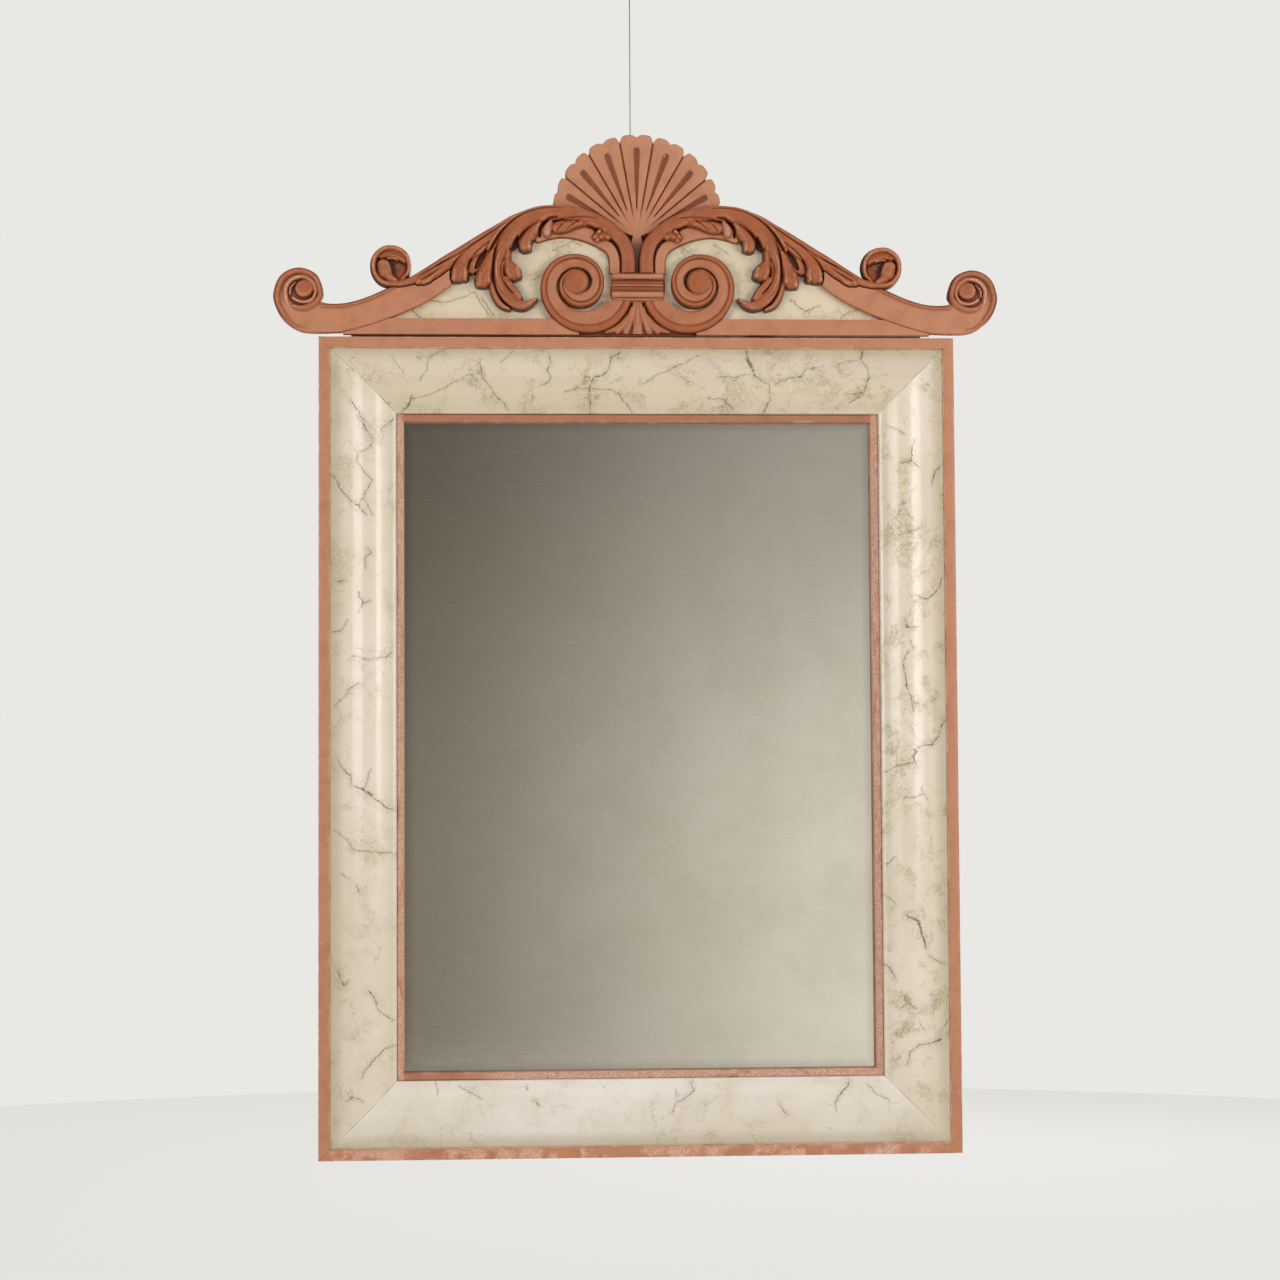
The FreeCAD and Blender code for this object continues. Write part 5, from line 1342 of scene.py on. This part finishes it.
shell_faces = [(at, at + SHELL_ROWS, at + SHELL_ROWS + 1, at + 1) for column in range(columns - 1)
               for at in range(column * SHELL_ROWS, (column + 1) * SHELL_ROWS - 1)]
scallop = new_piece("carved_shell", shell_points, shell_faces, SHARP_DEGREES)
hollow, ridge, tint = np.transpose(shell_marks)
mark_carving(scallop, hollow=hollow, ridge=ridge, tint=tint)
close_behind(scallop, -SHELL_BACK / 1000)
scallop.data.materials.append(salmon_carving)
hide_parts("shell")
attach(scallop, "frame")


# Battens and cleat: two softwood battens let into the back of the top rail carry the cresting, and a cleat
# ties the shell to the board. All are screwed on from behind.
batten_wood = wood_material("batten_wood", "z")
for node in ("batten_left", "batten_right", "shell_cleat"):
    finish_node(node, batten_wood)
for node in ("batten_screws", "cleat_screws"):
    dress(node, steel, SCREW_BEVEL)


# Hanger: a steel strap screwed to the cleat and rolled round the straight side of a D-ring of steel rod.
# The ring stands up under the wire's pull, and swings back when the wire is let go.
STRAP_BEVEL = 0.0003
for node in ("hanger_strap", "hanger_screws"):
    dress(node, steel, STRAP_BEVEL)
for node in ("hanger_ring", "wire_loop"):
    finish_node(node, steel)


# Hanging wire: 1.2 mm steel wire looped on the ring, closed by a crimped sleeve and ending above in a
# swaged eye for a picture-rail hook. It hangs taut and upright.
WIRE_X = -0.006
WIRE_Y = -0.0035
WIRE_FOOT = 1.177
WIRE_L = 0.212
WIRE_R = 0.0006
WIRE_STRAIGHT = 0.0072
SLEEVE_BEVEL = 0.0003
wire_line = bpy.data.curves.new("steel_wire", "CURVE")
wire_line.dimensions = "3D"
wire_line.bevel_depth = WIRE_R
wire_line.bevel_resolution = 4
wire_line.use_fill_caps = True
heights = (WIRE_FOOT, WIRE_FOOT + WIRE_STRAIGHT, WIRE_FOOT + WIRE_L - WIRE_STRAIGHT, WIRE_FOOT + WIRE_L)
spline = wire_line.splines.new("NURBS")
spline.points.add(len(heights) - 1)
for point, z in zip(spline.points, heights):
    point.co = (WIRE_X, WIRE_Y, z, 1.0)
spline.order_u = 3
spline.use_endpoint_u = True
wire_line.materials.append(steel)
wire = bpy.data.objects.new("steel_wire", wire_line)
bpy.context.scene.collection.objects.link(wire)
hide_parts("hanging_wire")
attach(wire, "hanger")
for node in ("wire_sleeve", "wire_eye"):
    dress(node, steel, SLEEVE_BEVEL)


# Studio: a round pale floor below the hanging mirror, two soft lamps in front, a weak one above and one
# behind. The camera sees a plain pale room; in the glass it is darker to the left and above, and dim
# beyond.
FLOOR_Z = -0.30
FLOOR_R = 3.4
FLOOR_GLOW = 0.86
PALE = srgb(233, 232, 229)
bpy.ops.mesh.primitive_circle_add(vertices=96, radius=FLOOR_R, fill_type="NGON", location=(0, 0, FLOOR_Z))
floor = bpy.context.object
floor.name = "floor"
floor_paint, shader, where = new_material("floor_paint")
tree = floor_paint.node_tree
ray = tree.nodes.new("ShaderNodeLightPath").outputs
shader.inputs["Base Color"].default_value = PALE
shader.inputs["Roughness"].default_value = 0.9
glow = add(tree, "Emission", {}, {"Color": PALE, "Strength": 1.0})
seen = most(ray["Is Camera Ray"], most(ray["Is Glossy Ray"], ray["Is Transmission Ray"]))
shown = add(tree, "MixShader", {}, {0: times(seen, FLOOR_GLOW), 1: shader.outputs[0], 2: glow.outputs[0]})
link(shown.outputs[0], tree.nodes["Material Output"].inputs["Surface"])
floor.data.materials.append(floor_paint)
floor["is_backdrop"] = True

AMBIENT = srgb(250, 249, 247)
AMBIENT_STRENGTH = 0.33
ROOM_DARK = srgb(130, 124, 112)
ROOM_LIGHT = srgb(243, 240, 232)
ROOM_DIM = srgb(92, 90, 86)
world = bpy.data.worlds.new("studio")
bpy.context.scene.world = world
world.use_nodes = True
tree = world.node_tree
tree.nodes.clear()
ray = tree.nodes.new("ShaderNodeLightPath").outputs
look = tree.nodes.new("ShaderNodeTexCoord").outputs["Generated"]
x, y, z = parts_of(look)
room = blend(ramp(x, -0.06, 0.16), ROOM_DARK, ROOM_LIGHT)
room = blend(times(ramp(z, -0.04, 0.16), 0.52), room, (0.0, 0.0, 0.0, 1.0))
room = blend(ramp(y, -0.86, -0.95), ROOM_DIM, room)
room = blend(ramp(y, 0.0, 0.3), room, ROOM_DIM)
reflected = most(ray["Is Glossy Ray"], ray["Is Transmission Ray"])
seen = blend(ray["Is Camera Ray"], room, PALE)
shown = most(ray["Is Camera Ray"], reflected)
strength = plus(AMBIENT_STRENGTH, times(shown, 1 - AMBIENT_STRENGTH))
background = add(tree, "Background", {}, {"Color": blend(shown, AMBIENT, seen), "Strength": strength})
link(background.outputs[0], tree.nodes.new("ShaderNodeOutputWorld").inputs["Surface"])

AIM = Vector((0, 0, 0.58))
for name, spot, size, power in (("lamp_left", (-1.75, -2.45, 0.9), 1.0, 25),
                                ("lamp_right", (1.75, -2.45, 0.9), 1.0, 32),
                                ("lamp_top", (0.0, -1.9, 2.9), 1.4, 14),
                                ("lamp_back", (0.9, 2.7, 1.3), 1.6, 40)):
    lamp = bpy.data.lights.new(name, "AREA")
    lamp.size = size
    lamp.energy = power
    stand = bpy.data.objects.new(name, lamp)
    stand.location = spot
    stand.rotation_euler = (AIM - Vector(spot)).to_track_quat("-Z", "Y").to_euler()
    bpy.context.scene.collection.objects.link(stand)


# Camera: in front of the mirror and a little to the left, as the photograph was taken.
CAMERA_AT = (-0.1690, -3.2343, 0.4387)
FOCAL_SHARE = 2711.9 / 1280
CAMERA_YAW = -0.0530
CAMERA_PITCH = 0.0522
CAMERA_ROLL = 0.0057
view = bpy.data.cameras.new("camera")
view.sensor_width = 36.0
view.lens = view.sensor_width * FOCAL_SHARE
camera = bpy.data.objects.new("camera", view)
camera.matrix_world = (Matrix.Translation(CAMERA_AT) @ Matrix.Rotation(CAMERA_YAW, 4, "Z")
                       @ Matrix.Rotation(CAMERA_PITCH, 4, "X") @ Matrix.Rotation(CAMERA_ROLL, 4, "Y")
                       @ Matrix.Rotation(math.pi / 2, 4, "X"))
bpy.context.scene.collection.objects.link(camera)
bpy.context.scene.camera = camera
bpy.context.scene.view_settings.view_transform = "Standard"


# Size: the box of the dressed part.
low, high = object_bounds()
